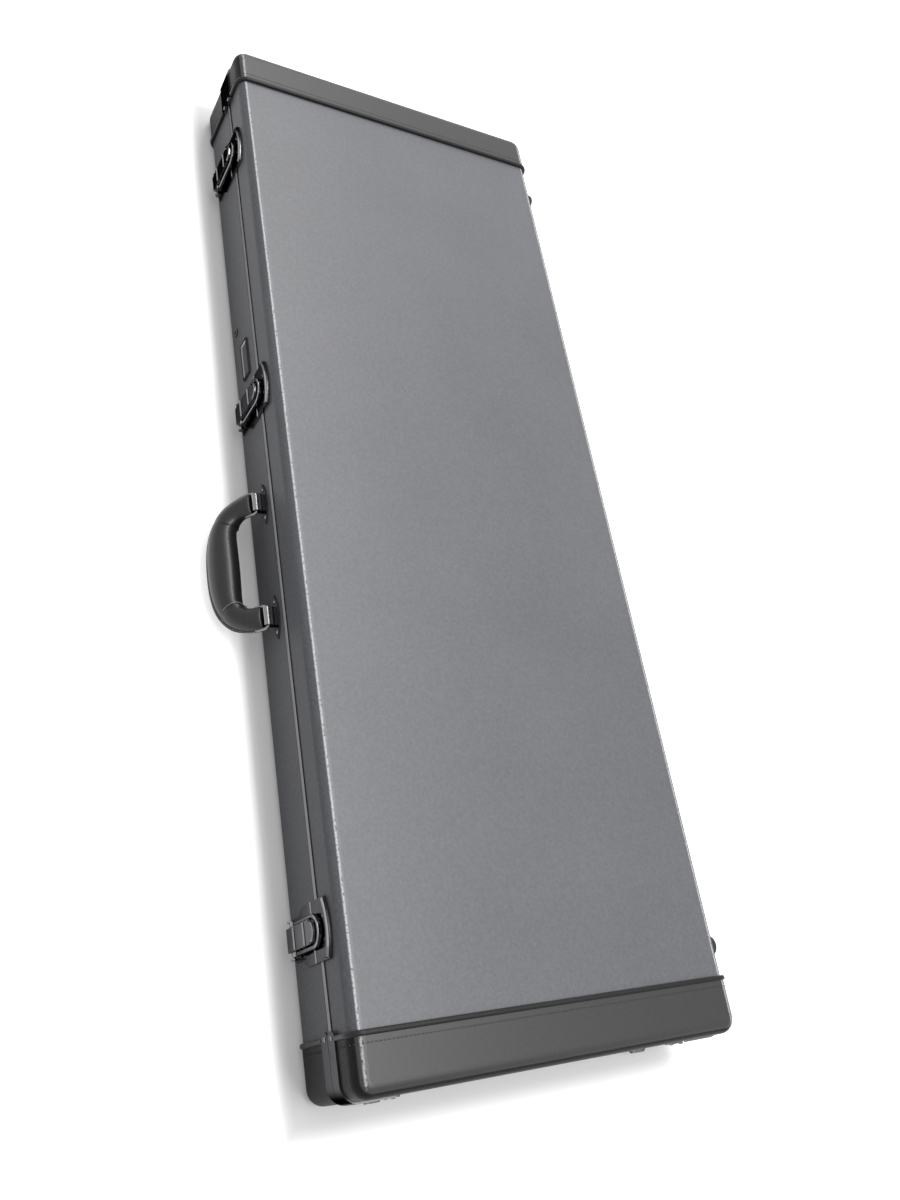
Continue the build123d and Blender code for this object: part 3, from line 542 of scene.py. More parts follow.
@dataclass
class Finishes:
    """Every material of the case, and which CAD node wears which."""

    vinyl: Hide = Hide("grey_vinyl", (0.084, 0.086, 0.094), (0.160, 0.163, 0.178))
    ends: Hide = Hide("end_leather", (0.007, 0.0073, 0.008), (0.024, 0.0245, 0.027), grain=480.0)
    grip: Hide = Hide(
        "handle_leather", (0.006, 0.006, 0.007), (0.02, 0.02, 0.021), grain=700.0,
        relief=0.00006, roughness=0.32, gloss=0.45,
    )
    creases: tuple[float, float] = (-36.0 * MM, -40.5 * MM)
    crease_reach: float = 0.7 * MM
    # A pale coat that paints a highlight line along the rounded long edges of the lid and the end
    # leathers.
    painted_edge_highlight: Hide = Hide(
        "painted_edge_highlight", (0.50, 0.505, 0.52), (0.80, 0.80, 0.81), grain=900.0, relief=0.00025,
        roughness=0.30, wax_roughness=0.2,
    )
    wax_depth: tuple[float, float] = (1.2 * MM, 0.2 * MM)
    edge_radius: float = 9.5 * MM
    edge_turn: float = 18.0
    edge_spread: float = 11.0
    speck_scale: float = 520.0
    speck_range: tuple[float, float] = (0.34, 0.50)
    # How strongly the painted highlight line shows on the end leathers.
    end_highlight_share: float = 0.7
    pile_margin: float = 1.5 * MM
    pile_start: float = 0.5 * MM
    # How far the painted shade line beside the seam rims reaches.
    seam_shade_reach: float = 1.5 * MM
    seam_inset: float = 5.0 * MM
    seam_width: float = 0.9 * MM
    made: dict[Wear, bpy.types.Material] = field(default_factory=dict)

    def build(self) -> None:
        """Makes the materials and paints every CAD node with its own."""
        self.made = {
            Wear.COVERED: make_material(self.vinyl.name, self._covered_board),
            Wear.ENDS: make_material(self.ends.name, self._stitched_ends),
            Wear.GRIP: make_material(self.grip.name, self._creased_grip),
            **{wear: coat.material() for wear, coat in PLAIN.items()},
        }
        for name, node in FRAME["nodes"].items():
            paint(node, self.made[self._wear_of(name)])
            LOG.info("painted %s", name)

    @staticmethod
    def _wear_of(name: str) -> Wear:
        """Picks the finish of a CAD node.

        Args:
            name: The node's name.

        Returns:
            The finish whose words come first in the list.
        """
        for words, wear in (
            (("accessory_pull_tab", "handle_elbow", "handle_grip", "handle_welt"), Wear.GRIP),
            (("shell",), Wear.COVERED),
            (("piping",), Wear.CORD),
            (("_leather",), Wear.ENDS),
            (("valance",), Wear.RIM),
            # These parts wear the darker, shaded copy of the nickel.
            (("strap", "strike", "glides"), Wear.DARK_NICKEL),
            (("eyelet",), Wear.BLACK),
            (("spine_feet",), Wear.RUBBER),
            (("label_card",), Wear.CARD),
            (("lining", "pad", "rest", "accessory"), Wear.PILE),
        ):
            if any(word in name for word in words):
                return wear
        return Wear.NICKEL

    def _polished(self, graph: Graph) -> Socket:
        """Finds the lid's top, which is waxed and handled more than the sides.

        Args:
            graph: The graph to build in.

        Returns:
            A mask that is 1 there.
        """
        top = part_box("lid_shell")[1].z
        start, end = self.wax_depth
        return graph.axis("Z").fade(top - start, top - end)

    def _painted_highlight_line(self, graph: Graph, high: Vector, radius: float) -> Socket:
        """A speckled line along a rounded long edge, where a highlight is painted pale.

        Args:
            graph: The graph to build in.
            high: The highest corner of the piece.
            radius: How round its edge is.

        Returns:
            The mask.
        """
        across, up = abs(graph.axis("Y")), graph.axis("Z")
        lean = (across - (high.y - radius)) / (up - (high.z - radius)).at_least(MM)
        turn = abs(lean - math.tan(math.radians(self.edge_turn)))
        line = turn.fade(math.tan(math.radians(self.edge_spread)), 0.0)
        line = line * up.fade(high.z - radius, high.z - radius / 2)
        line = line * abs(graph.axis("X")).fade(high.x - radius / 2, high.x - radius)
        return line * graph.clouds(self.speck_scale, 4.0).fade(*self.speck_range)

    def _covered_board(self, graph: Graph) -> Socket:
        """Vinyl outside, with a painted highlight line on the lid's long edges and a painted shade
        line beside the seam rims, and pile on the inner faces.

        Args:
            graph: The graph to build in.

        Returns:
            The surface.
        """
        lid_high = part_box("lid_shell")[1]
        lining_low, lining_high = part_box("floor_lining")
        pad_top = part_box("lid_pad")[1].z
        along, across, up = abs(graph.axis("X")), abs(graph.axis("Y")), graph.axis("Z")
        # A painted highlight line along the lid's rounded long edges.
        highlight_line = self._painted_highlight_line(graph, lid_high, self.edge_radius)
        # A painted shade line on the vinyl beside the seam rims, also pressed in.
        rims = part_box("base_valance")[0].z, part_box("lid_valance")[1].z
        from_seam = abs(up - sum(rims) / 2) - (rims[1] - rims[0]) / 2
        seam_shade = from_seam.fade(self.seam_shade_reach, 0.0)
        plain = self.vinyl.shade(graph, polished=self._polished(graph), sunk=seam_shade)
        outside = graph.layer(highlight_line, plain, self.painted_edge_highlight.shade(graph, polished=1.0))
        margin, start = self.pile_margin, self.pile_start
        within = (
            along.fade(lining_high.x + margin, lining_high.x)
            * across.fade(lining_high.y + margin, lining_high.y)
            * up.fade(lining_low.z - margin, lining_low.z - start)
            * up.fade(pad_top + margin, pad_top + start)
        )
        return graph.layer(within, outside, PLAIN[Wear.PILE].shade(graph))

    def _creased_grip(self, graph: Graph) -> Socket:
        """Handle leather with two creases across the grip, where it bends to the head end, painted
        darker there as shade.

        Args:
            graph: The graph to build in.

        Returns:
            The surface.
        """
        # The creases are pressed in and painted darker as shade.
        bent: Value = 0.0
        for crease in self.creases:
            bent = bent + abs(graph.axis("X") - crease).fade(self.crease_reach, 0.0)
        return self.grip.shade(graph, sunk=bent)

    def _stitched_ends(self, graph: Graph) -> Socket:
        """End leather with a pressed line below the row of stitches, painted darker there as shade,
        and a painted highlight line along its long edges.

        Args:
            graph: The graph to build in.

        Returns:
            The surface.
        """
        low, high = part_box("lid_body_leather")
        seam = low.x + self.seam_inset
        # The pressed line is also painted darker as shade, through the sunk mask.
        groove = abs(abs(graph.axis("X")) - seam).fade(self.seam_width, 0.0)
        # The same painted highlight line along the end leathers' long edges.
        highlight_line = self._painted_highlight_line(graph, high, self.edge_radius + high.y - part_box("lid_shell")[1].y)
        plain = self.ends.shade(graph, sunk=groove, polished=self._polished(graph))
        highlight_coat = self.painted_edge_highlight.shade(graph, polished=1.0)
        return graph.layer(highlight_line * self.end_highlight_share, plain, highlight_coat)


@dataclass
class SoftBox:
    """One large soft lamp that faces straight down."""

    name: str
    place: Place
    width: float
    height: float
    brightness: float

    def build(self) -> None:
        """Adds the lamp, unseen by the camera."""
        bpy.ops.object.light_add(type="AREA", location=self.place)
        lamp = bpy.context.object
        lamp.name = self.name
        lamp.data.shape = "RECTANGLE"
        lamp.data.size = self.width
        lamp.data.size_y = self.height
        lamp.data.energy = self.brightness * math.pi * self.width * self.height
        lamp.visible_camera = False


@dataclass
class Studio:
    """Camera, floor, sky and lamps."""

    eye: Place = (0.5168, -0.5427, 0.8826)
    sight: Place = (-0.38712, 0.50221, -0.77325)
    down: Place = (0.90813, 0.0626, -0.41399)
    focal_length: float = 32.309
    sensor: float = 36.0
    floor_size: float = 40.0
    floor_colour: float = 0.80
    # The floor glows less near the case, which paints a shadow band there.
    shadow_band_glow: float = 0.15
    far_glow: float = 0.62
    shadow_band_start: float = 0.006
    shadow_band_reach: float = 0.032
    sky_light: float = 0.36
    sky_seen: float = 1.0
    lamps: tuple[SoftBox, ...] = (
        SoftBox("overhead", (-0.8, 0.12, 2.0), 4.2, 1.5, 1.0),
        SoftBox("main", (-0.5, 0.26, 1.9), 4.1, 0.30, 11.0),
    )

    def build(self) -> None:
        """Sets up the whole studio."""
        self._camera()
        self._floor()
        self._sky()
        for lamp in self.lamps:
            lamp.build()
        bpy.context.scene.view_settings.view_transform = "Standard"
        LOG.info("studio ready")

    def _camera(self) -> None:
        """Places the camera where the photograph was taken."""
        bpy.ops.object.camera_add(location=self.eye)
        camera = bpy.context.object
        ahead = Vector(self.sight).normalized()
        right = Vector(self.down).cross(ahead).normalized()
        up = right.cross(ahead)
        camera.rotation_euler = Matrix((right, up, -ahead)).transposed().to_euler()
        camera.data.sensor_width = self.sensor
        camera.data.lens = self.focal_length
        camera.data.clip_start = 0.01
        camera.data.dof.use_dof = False
        bpy.context.scene.camera = camera

    def _seen(self, graph: Graph) -> Socket:
        """Finds what the camera sees, straight or in a reflection.

        Args:
            graph: The graph to build in.

        Returns:
            A mask that is 1 there.
        """
        kinds = [
            graph.add("ShaderNodeLightPath", output=f"Is {kind} Ray")
            for kind in ("Camera", "Glossy", "Transmission")
        ]
        return (kinds[0] + kinds[1] + kinds[2]).at_most(1.0)

    def _floor(self) -> None:
        """A white floor that keeps its shadows."""
        bpy.ops.mesh.primitive_plane_add(size=self.floor_size, location=(0.0, 0.0, 0.0))
        floor = settle(bpy.context.object, "studio_floor")
        paint(floor, make_material("studio_floor", self._paper))

    def _paper(self, graph: Graph) -> Socket:
        """Matt paper, lit up for the camera alone, and more so away from the case, so that a
        painted shadow band lies around it.

        Args:
            graph: The graph to build in.

        Returns:
            The surface.
        """
        grey = (self.floor_colour,) * 3
        paper = graph.add("ShaderNodeBsdfDiffuse", {}, {"Color": grey})
        # The glow is lower near the case: a painted shadow band.
        beyond_end = abs(graph.axis("X")) - CAD_BOX[1][0]
        beyond_side = abs(graph.axis("Y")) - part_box("lid_body_leather")[1].y
        away = beyond_end.at_least(beyond_side).fade(self.shadow_band_start, self.shadow_band_reach)
        level = away * (self.far_glow - self.shadow_band_glow) + self.shadow_band_glow
        glow = graph.add("ShaderNodeEmission", {}, {"Strength": self._seen(graph) * level})
        return graph.add("ShaderNodeAddShader", {}, {0: paper, 1: glow})

    def _sky(self) -> None:
        """An even pale sky that fills the shadows."""
        world = bpy.data.worlds.new("studio_sky")
        bpy.context.scene.world = world
        world.use_nodes = True
        graph = Graph(world.node_tree)
        strength = self._seen(graph) * (self.sky_seen - self.sky_light) + self.sky_light
        white = {"Color": (1.0, 1.0, 1.0), "Strength": strength}
        graph.add("ShaderNodeOutputWorld", {}, {0: graph.add("ShaderNodeBackground", {}, white)})


@dataclass(frozen=True)
class Rib:
    """One oval section of the handle, by its ends in the handle's plane, in millimetres."""

    inner: tuple[float, float]
    outer: tuple[float, float]
    half_thickness: float

    def mirrored(self) -> "Rib":
        """Returns the same section on the other arm."""
        inner, outer = ((-along, out) for along, out in (self.inner, self.outer))
        return Rib(inner, outer, self.half_thickness)


@dataclass
class Plane:
    """The plane that the drooping handle lies in: u along the case, v away from the pivot."""

    origin: Vector
    along: Vector
    out: Vector

    @property
    def normal(self) -> Vector:
        """The direction square to the plane."""
        return self.along.cross(self.out).normalized()

    def point(self, place: tuple[float, float], lift: float = 0.0) -> Vector:
        """Returns the point at a place in the plane, or lifted off it, given in millimetres."""
        return self.origin + (self.along * place[0] + self.out * place[1] + self.normal * lift) * MM


@dataclass
class Handle:
    """Padded leather handle with wrapped arms, a tongue seam at each and a stitched welt."""

    plane: Plane
    finishes: Finishes
    sides: int = 28
    wrap: float = 0.7
    welt_root: float = 2.0
    welt_half: float = 1.35
    welt_proud: float = 3.2
    seam_out: float = 1.1
    edge_radius: float = 0.5
    edge_lift: float = 0.2
    edge_sides: int = 6
    tongue: float = 4.5
    tongue_spread: float = 1.25
    tongue_rib: Rib = Rib((42.0, 22.4), (51.4, 43.6), 11.1)
    row_share: float = 0.85
    arm: tuple[Rib, ...] = (
        Rib((47.9, 4.5), (69.1, 4.5), 3.6),
        Rib((47.6, 5.6), (69.3, 5.6), 4.9),
        Rib((47.5, 9.2), (69.2, 9.7), 6.2),
        Rib((47.2, 13.0), (68.4, 16.2), 7.5),
        Rib((46.6, 16.6), (65.2, 25.6), 8.7),
        Rib((44.8, 19.4), (61.0, 33.6), 9.6),
        Rib((42.3, 22.2), (53.6, 41.6), 10.8),
    )
    half_grip: tuple[Rib, ...] = (
        Rib((38.5, 24.4), (44.0, 48.2), 12.0),
        Rib((31.0, 25.0), (33.0, 52.0), 12.9),
        Rib((18.0, 24.6), (18.5, 54.6), 13.6),
    )
    middle: Rib = Rib((0.0, 24.2), (0.0, 55.2), 13.9)

    def build(self) -> None:
        """Makes the handle's leather and its stitching."""
        whole = (*self.arm, *self.half_grip, self.middle)
        whole += tuple(rib.mirrored() for rib in reversed(whole[:-1]))
        core = self._loft("handle_core", whole)
        self._finish(core, ("handle_grip",))
        for side, name in ((1, "body"), (-1, "head")):
            wrap = self._wrapped_arm(side, f"handle_wrap_{name}")
            self._finish(wrap, (f"handle_elbow_{name}",))
        welt = self._welt(whole)
        self._finish(welt, ("handle_welt",))
        line = [Vector(rib.outer) for rib in whole[2:-2]]
        aways = [(Vector(rib.outer) - Vector(rib.inner)).normalized() for rib in whole[2:-2]]
        lift = self.welt_half * self.row_share
        rows = [
            [
                self.plane.point(tuple(end + away * self.seam_out), side * lift)
                for end, away in zip(line, aways)
            ]
            for side in (-1, 1)
        ]
        thread = Thread(
            self.finishes, pitch=3.2 * MM, length=2.3 * MM, width=0.8 * MM, finish=Wear.RAW_EDGE
        )
        thread.sew("handle_stitching", "handle", rows, "handle_leather")
        LOG.info("handle leather")

    def _finish(self, piece: bpy.types.Object, nodes: tuple[str, ...]) -> None:
        """Dresses one piece.

        Args:
            piece: The piece.
            nodes: The CAD nodes that it stands for.
        """
        paint(piece, self.finishes.made[Wear.GRIP])
        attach(piece, "handle")
        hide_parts(*nodes)

    def _section(self, rib: Rib, grow: float) -> bpy.types.Object:
        """Adds one oval.

        Args:
            rib: The section.
            grow: How much larger it is all round, in millimetres.

        Returns:
            The oval, square to the handle's run.
        """
        start, end = self.plane.point(rib.inner), self.plane.point(rib.outer)
        across = (end - start).normalized()
        normal = self.plane.normal
        turn = Matrix((across, normal, across.cross(normal))).transposed().to_euler()
        bpy.ops.mesh.primitive_circle_add(
            vertices=self.sides, radius=1.0, location=(start + end) / 2, rotation=turn
        )
        oval = bpy.context.object
        oval.scale = ((end - start).length / 2 + grow * MM, (rib.half_thickness + grow) * MM, 1.0)
        return oval

    def _loft(self, name: str, ribs: Sequence[Rib], grow: float = 0.0) -> bpy.types.Object:
        """Bridges a row of ovals into a closed skin.

        Args:
            name: The piece's name.
            ribs: The sections in order.
            grow: How much larger every section is, in millimetres.

        Returns:
            The smooth closed piece.
        """
        piece = merge([self._section(rib, grow) for rib in ribs][::-1], name)
        bridge_rows(piece, len(ribs), self.sides)
        return piece

    def _wrapped_arm(self, side: int, name: str) -> bpy.types.Object:
        """The second layer of leather over one arm, ending in a tongue over the grip.

        Args:
            side: 1 for the body end and -1 for the head end.
            name: The piece's name.

        Returns:
            The wrap.
        """
        ribs = [*self.arm, self.tongue_rib]
        if side < 0:
            ribs = [rib.mirrored() for rib in ribs]
        wrap = self._loft(name, ribs, self.wrap)
        edge = wrap.data.vertices[-self.sides:]
        middle = sum((vertex.co for vertex in edge), Vector()) / self.sides
        span = max((vertex.co - middle).length for vertex in edge)
        for vertex in edge:
            away = abs((vertex.co - middle).dot(self.plane.normal)) / span
            share = min(1.0, away * self.tongue_spread)
            vertex.co -= self.plane.along * side * share * self.tongue * MM
        # Only the body end gets the painted highlight along its tongue.
        if side > 0:
            self._painted_tongue_highlight([vertex.co.copy() for vertex in edge], f"{name}_edge")
        pick(wrap)
        modifier(wrap, "BEVEL", width=0.3 * MM, segments=2, limit_method="ANGLE", angle_limit=1.0)
        return settle(wrap, name)

    def _painted_tongue_highlight(self, ring: Sequence[Vector], name: str) -> None:
        """A pale tube along a wrap's tongue, painted as a highlight on its edge.

        Args:
            ring: The wrap's last ring of points.
            name: The piece's name.
        """
        bpy.ops.mesh.primitive_torus_add(
            major_segments=len(ring), minor_segments=self.edge_sides, major_radius=1.0,
            minor_radius=0.1,
        )
        edge = bpy.context.object
        middle = sum(ring, Vector()) / len(ring)
        across = (ring[0] - middle).normalized()
        for number, vertex in enumerate(edge.data.vertices):
            turn, round_it = divmod(number, self.edge_sides)
            out = (ring[turn] - middle).normalized()
            ahead = across.cross(self.plane.normal).normalized()
            angle = math.tau * round_it / self.edge_sides
            tube = out * math.cos(angle) + ahead * math.sin(angle)
            vertex.co = ring[turn] + (out * self.edge_lift + tube * self.edge_radius) * MM
        face_outwards(edge)
        modifier(edge, "SUBSURF", levels=1, render_levels=1)
        settle(edge, name)
        bpy.ops.object.shade_smooth()
        paint(edge, self.finishes.made[Wear.RAW_EDGE])
        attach(edge, "handle")

    def _welt(self, ribs: Sequence[Rib]) -> bpy.types.Object:
        """The flat double edge that is sewn round the outside.

        Args:
            ribs: The sections of the padding that it is sewn to.

        Returns:
            The welt.
        """
        strip = []
        for number, rib in enumerate(ribs[2:-2]):
            inner, outer = Vector(rib.inner), Vector(rib.outer)
            away = (outer - inner).normalized()
            share = min(1.0, (0.5 + min(number, len(ribs) - 5 - number)) / 3.5)
            root, rim = outer - away * self.welt_root, outer + away * self.welt_proud * share
            strip.append(Rib(tuple(root), tuple(rim), self.welt_half))
        return self._loft("handle_seam_welt", strip)


@dataclass(frozen=True)
class Cushion:
    """One foam block of the inside and how it is blown up."""

    node: str
    name: str
    voxel: float = 5.0 * MM
    shrink: float = 1.6 * MM
    pressure: float = 4.0
    furthest: float = 2.6 * MM


@dataclass(frozen=True)
class Blanket:
    """One thin sheet of foam and plush, glued down by its back."""

    node: str
    name: str
    body: str
    faces_down: bool
    rim: float
    crown: float
    cuts: int = 34


@dataclass
class Upholstery:
    """The plush inside: blocks of foam, the floor lining, the lid's pad and the pull tab."""

    finishes: Finishes
    corner: float = 5.7 * MM
    glue_height: float = 2.0 * MM
    tab_corner: float = 4.0 * MM
    tab_rim: float = 1.2 * MM
    tab_bevel: float = 0.3 * MM
    tab_seam: float = 2.2 * MM
    frames: int = 20
    blocks: tuple[Cushion, ...] = (
        Cushion("waist_pad_handle_side", "waist_cushion_handle_side"),
        Cushion("waist_pad_hinge_side", "waist_cushion_hinge_side"),
        Cushion("tail_pad", "tail_cushion"),
        Cushion("head_pad", "head_cushion"),
        Cushion("neck_rest", "neck_cushion"),
    )
    sheets: tuple[Blanket, ...] = (
        Blanket("floor_lining", "floor_plush", "base", False, 3.0 * MM, 0.45),
        Blanket("lid_pad", "lid_cushion", "lid", True, 16.0 * MM, 0.40),
    )

    def build(self) -> None:
        """Makes and dresses every soft piece of the inside."""
        for block in self.blocks:
            self._dress(self._cushion(block), "base", block.node)
        for sheet in self.sheets:
            self._dress(self._blanket(sheet), sheet.body, sheet.node)
        self._pull_tab()

    def _dress(self, piece: bpy.types.Object, body: str, node: str) -> None:
        """Covers a piece in pile and puts it in its node's place.

        Args:
            piece: The piece.
            body: The body that it rides on.
            node: The CAD node that it stands for.
        """
        paint(piece, self.finishes.made[Wear.PILE])
        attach(piece, body)
        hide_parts(node)
        LOG.info("upholstered %s", piece.name)

    def _cushion(self, block: Cushion) -> bpy.types.Object:
        """Blows a foam block up inside its cover.

        Args:
            block: Which block, and how.

        Returns:
            The crowned block.
        """
        source = FRAME["nodes"][block.node]
        piece = source.copy()
        piece.data = source.data.copy()
        bpy.context.collection.objects.link(piece)
        piece.parent = None
        face_outwards(piece)
        modifier(piece, "REMESH", mode="VOXEL", voxel_size=block.voxel)
        modifier(piece, "DISPLACE", strength=-block.shrink, mid_level=0.0)
        settle(piece, block.name)
        self._blow_up(piece, block)
        modifier(piece, "SUBSURF", levels=1, render_levels=1)
        settle(piece, block.name)
        bpy.ops.object.shade_smooth()
        return piece

    def _blow_up(self, piece: bpy.types.Object, block: Cushion) -> None:
        """Runs the cloth under pressure and keeps it within the block's space.

        Args:
            piece: The block's skin.
            block: Which block, and how it is blown up.
        """
        low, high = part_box(block.node)
        before = [vertex.co.copy() for vertex in piece.data.vertices]
        glued = piece.vertex_groups.new(name="glued")
        foot = low.z + block.shrink + self.glue_height
        held = [number for number, place in enumerate(before) if place.z < foot]
        glued.add(held, 1.0, "ADD")
        cloth = modifier(piece, "CLOTH")
        cloth.settings.use_pressure = True
        cloth.settings.uniform_pressure_force = block.pressure
        cloth.settings.vertex_group_mass = glued.name
        cloth.settings.effector_weights.gravity = 0.0
        cloth.point_cache.frame_start, cloth.point_cache.frame_end = 1, self.frames
        for frame in range(1, self.frames + 1):
            bpy.context.scene.frame_set(frame)
        settle(piece, block.name)
        for vertex, place in zip(piece.data.vertices, before):
            move = vertex.co - place
            if move.length > block.furthest:
                vertex.co = place + move * (block.furthest / move.length)
            vertex.co = Vector(
                min(max(value, least), most) for value, least, most in zip(vertex.co, low, high)
            )
        bpy.context.scene.frame_set(1)

    def _blanket(self, sheet: Blanket) -> bpy.types.Object:
        """Shapes a thin crowned sheet with soft edges and a slightly uneven face.

        Args:
            sheet: Which sheet, and how it is shaped.

        Returns:
            The sheet.
        """
        low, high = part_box(sheet.node)
        size, middle = high - low, (high + low) / 2
        bpy.ops.mesh.primitive_cube_add(size=1.0, location=middle)
        piece = bpy.context.object
        piece.scale = size
        settle(piece, sheet.name)
        bpy.ops.object.mode_set(mode="EDIT")
        bpy.ops.mesh.select_all(action="SELECT")
        bpy.ops.mesh.subdivide(number_cuts=sheet.cuts)
        bpy.ops.object.mode_set(mode="OBJECT")
        back = high.z if sheet.faces_down else low.z
        for vertex in piece.data.vertices:
            across = Vector((vertex.co.x - middle.x, vertex.co.y - middle.y))
            reach = Vector((size.x / 2, size.y / 2))
            inward = min(reach.x - abs(across.x), reach.y - abs(across.y))
            over = [abs(part) - (whole - self.corner) for part, whole in zip(across, reach)]
            if min(over) > 0.0 and Vector(over).length > self.corner:
                scale = self.corner / Vector(over).length
                for axis in (0, 1):
                    kept = reach[axis] - self.corner + over[axis] * scale
                    vertex.co[axis] = middle[axis] + math.copysign(kept, across[axis])
            rise = min(1.0, max(0.0, inward) / sheet.rim)
            crown = 1.0 - sheet.crown * (1.0 - math.sqrt(1.0 - (1.0 - rise) ** 2))
            slant = vertex.co.y * 41.0 + vertex.co.x * 9.0
            waves = math.sin(vertex.co.x * 23.0) * math.sin(slant)
            lift = crown * (0.97 + 0.03 * waves)
            vertex.co.z = back + (vertex.co.z - back) * lift
        modifier(piece, "SUBSURF", levels=1, render_levels=1)
        settle(piece, sheet.name)
        bpy.ops.object.shade_smooth()
        return piece

    def _pull_tab(self) -> None:
        """The leather loop that lifts the accessory box's lid, with its row of stitches."""
        low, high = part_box("accessory_pull_tab")
        size, middle = high - low, (high + low) / 2
        bpy.ops.mesh.primitive_plane_add(size=1.0, location=middle)
        tab = bpy.context.object
        tab.scale = (size.x, size.y, 1.0)
        settle(tab, "pull_tab")
        pick(tab)
        bpy.ops.object.mode_set(mode="EDIT")
        bpy.ops.mesh.select_all(action="SELECT")
        bpy.ops.mesh.bevel(offset=self.tab_corner, segments=5, affect="VERTICES")
        bpy.ops.mesh.inset(thickness=self.tab_rim)
        bpy.ops.object.mode_set(mode="OBJECT")
        modifier(tab, "SOLIDIFY", thickness=size.z, offset=0.0)
        modifier(tab, "BEVEL", width=self.tab_bevel, segments=3)
        settle(tab, "pull_tab")
        bpy.ops.object.shade_smooth_by_angle(angle=math.radians(40.0))
        paint(tab, self.finishes.made[Wear.GRIP])
        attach(tab, "accessory_lid")
        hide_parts("accessory_pull_tab")
        edge = self.tab_seam
        left, right = low.x + edge, high.x - edge
        start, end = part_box("accessory_lid")[0].y + edge, high.y - edge
        turns = ((left, start), (left, end), (right, end), (right, start))
        row = [Vector((*turn, high.z)) for turn in turns]
        thread = Thread(self.finishes, pitch=2.6 * MM, length=1.7 * MM, width=0.6 * MM)
        thread.sew("pull_tab_stitching", "accessory_lid", [row], "handle_leather")


@dataclass
class Thread:
    """Rows of single stitches, each a small rounded lozenge that is half sunk."""

    finishes: Finishes
    pitch: float = 3.6 * MM
    length: float = 2.5 * MM
    width: float = 0.95 * MM
    finish: Wear = Wear.THREAD

    def row(self, points: Sequence[Vector]) -> list[bpy.types.Object]:
        """Lays stitches along a line.

        Args:
            points: The line that the stitches follow.

        Returns:
            The stitches, still separate.
        """
        bpy.ops.mesh.primitive_uv_sphere_add(segments=6, ring_count=4, radius=0.5)
        first = bpy.context.object
        first.scale = (self.length, self.width, self.width * 0.8)
        settle(first, "stitch")
        bpy.ops.object.shade_smooth()
        stitches = []
        for place, direction in paces(points, self.pitch):
            stitch = first.copy()
            stitch.data = first.data.copy()
            stitch.rotation_euler = direction.to_track_quat("X", "Z").to_euler()
            stitch.location = place
            bpy.context.collection.objects.link(stitch)
            stitches.append(stitch)
        bpy.data.objects.remove(first)
        return stitches

    def sew(self, name: str, body: str, rows: Sequence[Sequence[Vector]], slot: str) -> None:
        """Makes one piece of several rows.

        Args:
            name: The piece's name.
            body: The body that it rides on.
            rows: The lines that the stitches follow.
            slot: A slot name for its finish, which is not used.
        """
        piece = merge([stitch for row in rows for stitch in self.row(row)], name)
        paint(piece, self.finishes.made[self.finish])
        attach(piece, body)
        LOG.info("sewed %s", name)


@dataclass
class EndSeams:
    """The stitch rows just inside the edges of the end leathers."""

    thread: Thread
    inset: float = 5.0 * MM
    board_radius: float = 7.7 * MM
    strap_gap: float = 1.2 * MM
    corner_steps: int = 8

    def build(self) -> None:
        """Sews the rows of both halves."""
        low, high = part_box("lid_body_leather")
        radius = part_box("lid_piping")[1].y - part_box("lid_shell")[1].y
        radius += self.board_radius
        strap_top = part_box("lid_corner_straps")[1].z
        strap_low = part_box("base_corner_straps")[0].z
        places = [(end * (low.x + self.inset)) for end in (-1, 1)]
        over = [self._over(x, high, radius, strap_top + self.strap_gap) for x in places]
        self.thread.sew("lid_end_stitching", "lid", over, "end_leather")
        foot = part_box("base_body_leather")[0].z + radius
        down = [
            [Vector((x, side * high.y, end)) for end in (strap_low - self.strap_gap, foot)]
            for x in places
            for side in (-1, 1)
        ]
        self.thread.sew("base_end_stitching", "base", down, "end_leather")

    def _over(self, x: float, high: Vector, radius: float, start: float) -> list[Vector]:
        """A line up one side, round both edges and down the other side.

        Args:
            x: Where along the case.
            high: The leather's highest corner.
            radius: How round the long edges are.
            start: The height of both ends.

        Returns:
            The line's points.
        """
        line = [Vector((x, -high.y, start))]
        for side in (-1, 1):
            middle = Vector((x, side * (high.y - radius), high.z - radius))
            steps = range(self.corner_steps + 1)
            for step in steps if side < 0 else reversed(steps):
                angle = math.radians(90.0) * step / self.corner_steps
                turned = Vector((0.0, side * math.cos(angle), math.sin(angle)))
                line.append(middle + radius * turned)
        return line + [Vector((x, high.y, start))]


def paces(points: Sequence[Vector], pitch: float) -> list[tuple[Vector, Vector]]:
    """Walks along a line in even steps.

    Args:
        points: The line.
        pitch: The length of a step.

    Returns:
        The place and the direction of every step.
    """
    lengths = [(after - before).length for before, after in zip(points, points[1:])]
    count = max(1, round(sum(lengths) / pitch))
    step = sum(lengths) / count
    found = []
    for number in range(count):
        left = (number + 0.5) * step
        for before, after, length in zip(points, points[1:], lengths):
            if left <= length:
                found.append((before.lerp(after, left / length), (after - before).normalized()))
                break
            left -= length
    return found


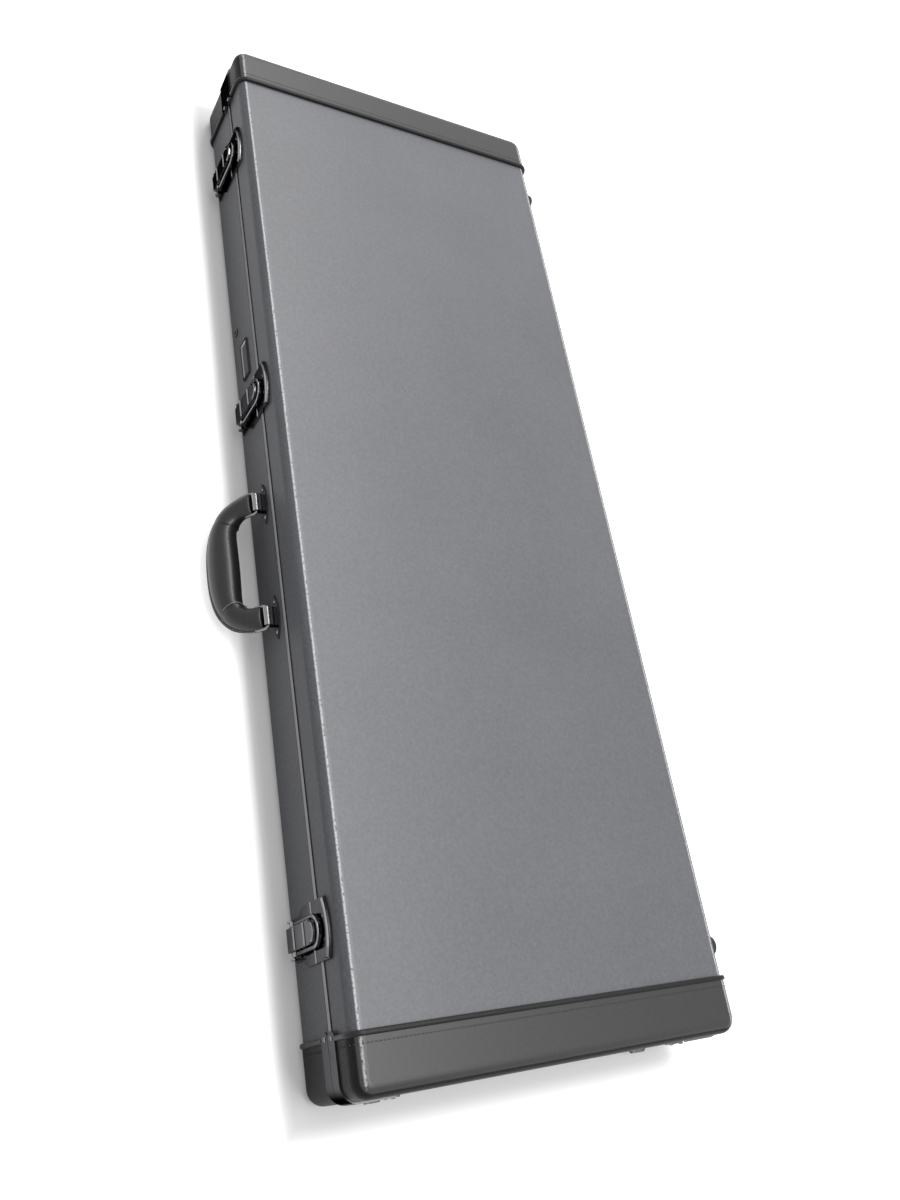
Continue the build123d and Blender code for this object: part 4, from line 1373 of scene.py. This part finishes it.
def bridge_rows(piece: bpy.types.Object, rows: int, sides: int) -> None:
    """Joins rows of vertices that lie in order in a mesh, closes both ends and smooths the skin.

    Args:
        piece: The object.
        rows: How many rows it has.
        sides: How many vertices are in a row.
    """
    pick(piece)
    bpy.ops.object.mode_set(mode="EDIT")
    for row in range(rows - 1):
        choose(piece, range(row * sides, (row + 2) * sides))
        bpy.ops.mesh.bridge_edge_loops()
    for row in (0, rows - 1):
        choose(piece, range(row * sides, (row + 1) * sides))
        bpy.ops.mesh.edge_face_add()
        bpy.ops.mesh.inset(thickness=0.8 * MM)
    bpy.ops.mesh.select_all(action="SELECT")
    bpy.ops.mesh.normals_make_consistent(inside=False)
    bpy.ops.object.mode_set(mode="OBJECT")
    modifier(piece, "SUBSURF", levels=2, render_levels=2)
    bpy.ops.object.shade_smooth()


def choose(piece: bpy.types.Object, numbers: Iterable[int]) -> None:
    """Selects vertices and the edges between them, in edit mode.

    Args:
        piece: The object.
        numbers: Its vertices' numbers.
    """
    bpy.ops.mesh.select_mode(type="VERT")
    bpy.ops.mesh.select_all(action="DESELECT")
    bpy.ops.object.mode_set(mode="OBJECT")
    for number in numbers:
        piece.data.vertices[number].select = True
    bpy.ops.object.mode_set(mode="EDIT")
    bpy.ops.mesh.select_mode(type="EDGE")


def handle_plane() -> Plane:
    """Finds the handle's plane from its joint and its rest pose.

    Returns:
        The plane, with its origin on the joint's axis.
    """
    joint = next(joint for joint in FRAME["joints"] if joint["name"] == "handle_swing")
    pivot = Vector(joint["pos_m"])
    low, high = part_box("handle_grip")
    droop = math.atan2(pivot.z - (low.z + high.z) / 2, pivot.y - (low.y + high.y) / 2)
    return Plane(pivot, Vector((1.0, 0.0, 0.0)), Vector((0.0, -math.cos(droop), -math.sin(droop))))


def main() -> None:
    """Builds the studio and dresses the case."""
    logging.basicConfig(level=logging.INFO, format="%(message)s")
    Studio().build()
    finishes = Finishes()
    finishes.build()
    Handle(handle_plane(), finishes).build()
    EndSeams(Thread(finishes)).build()
    Upholstery(finishes).build()


if __name__ == "__main__":
    main()
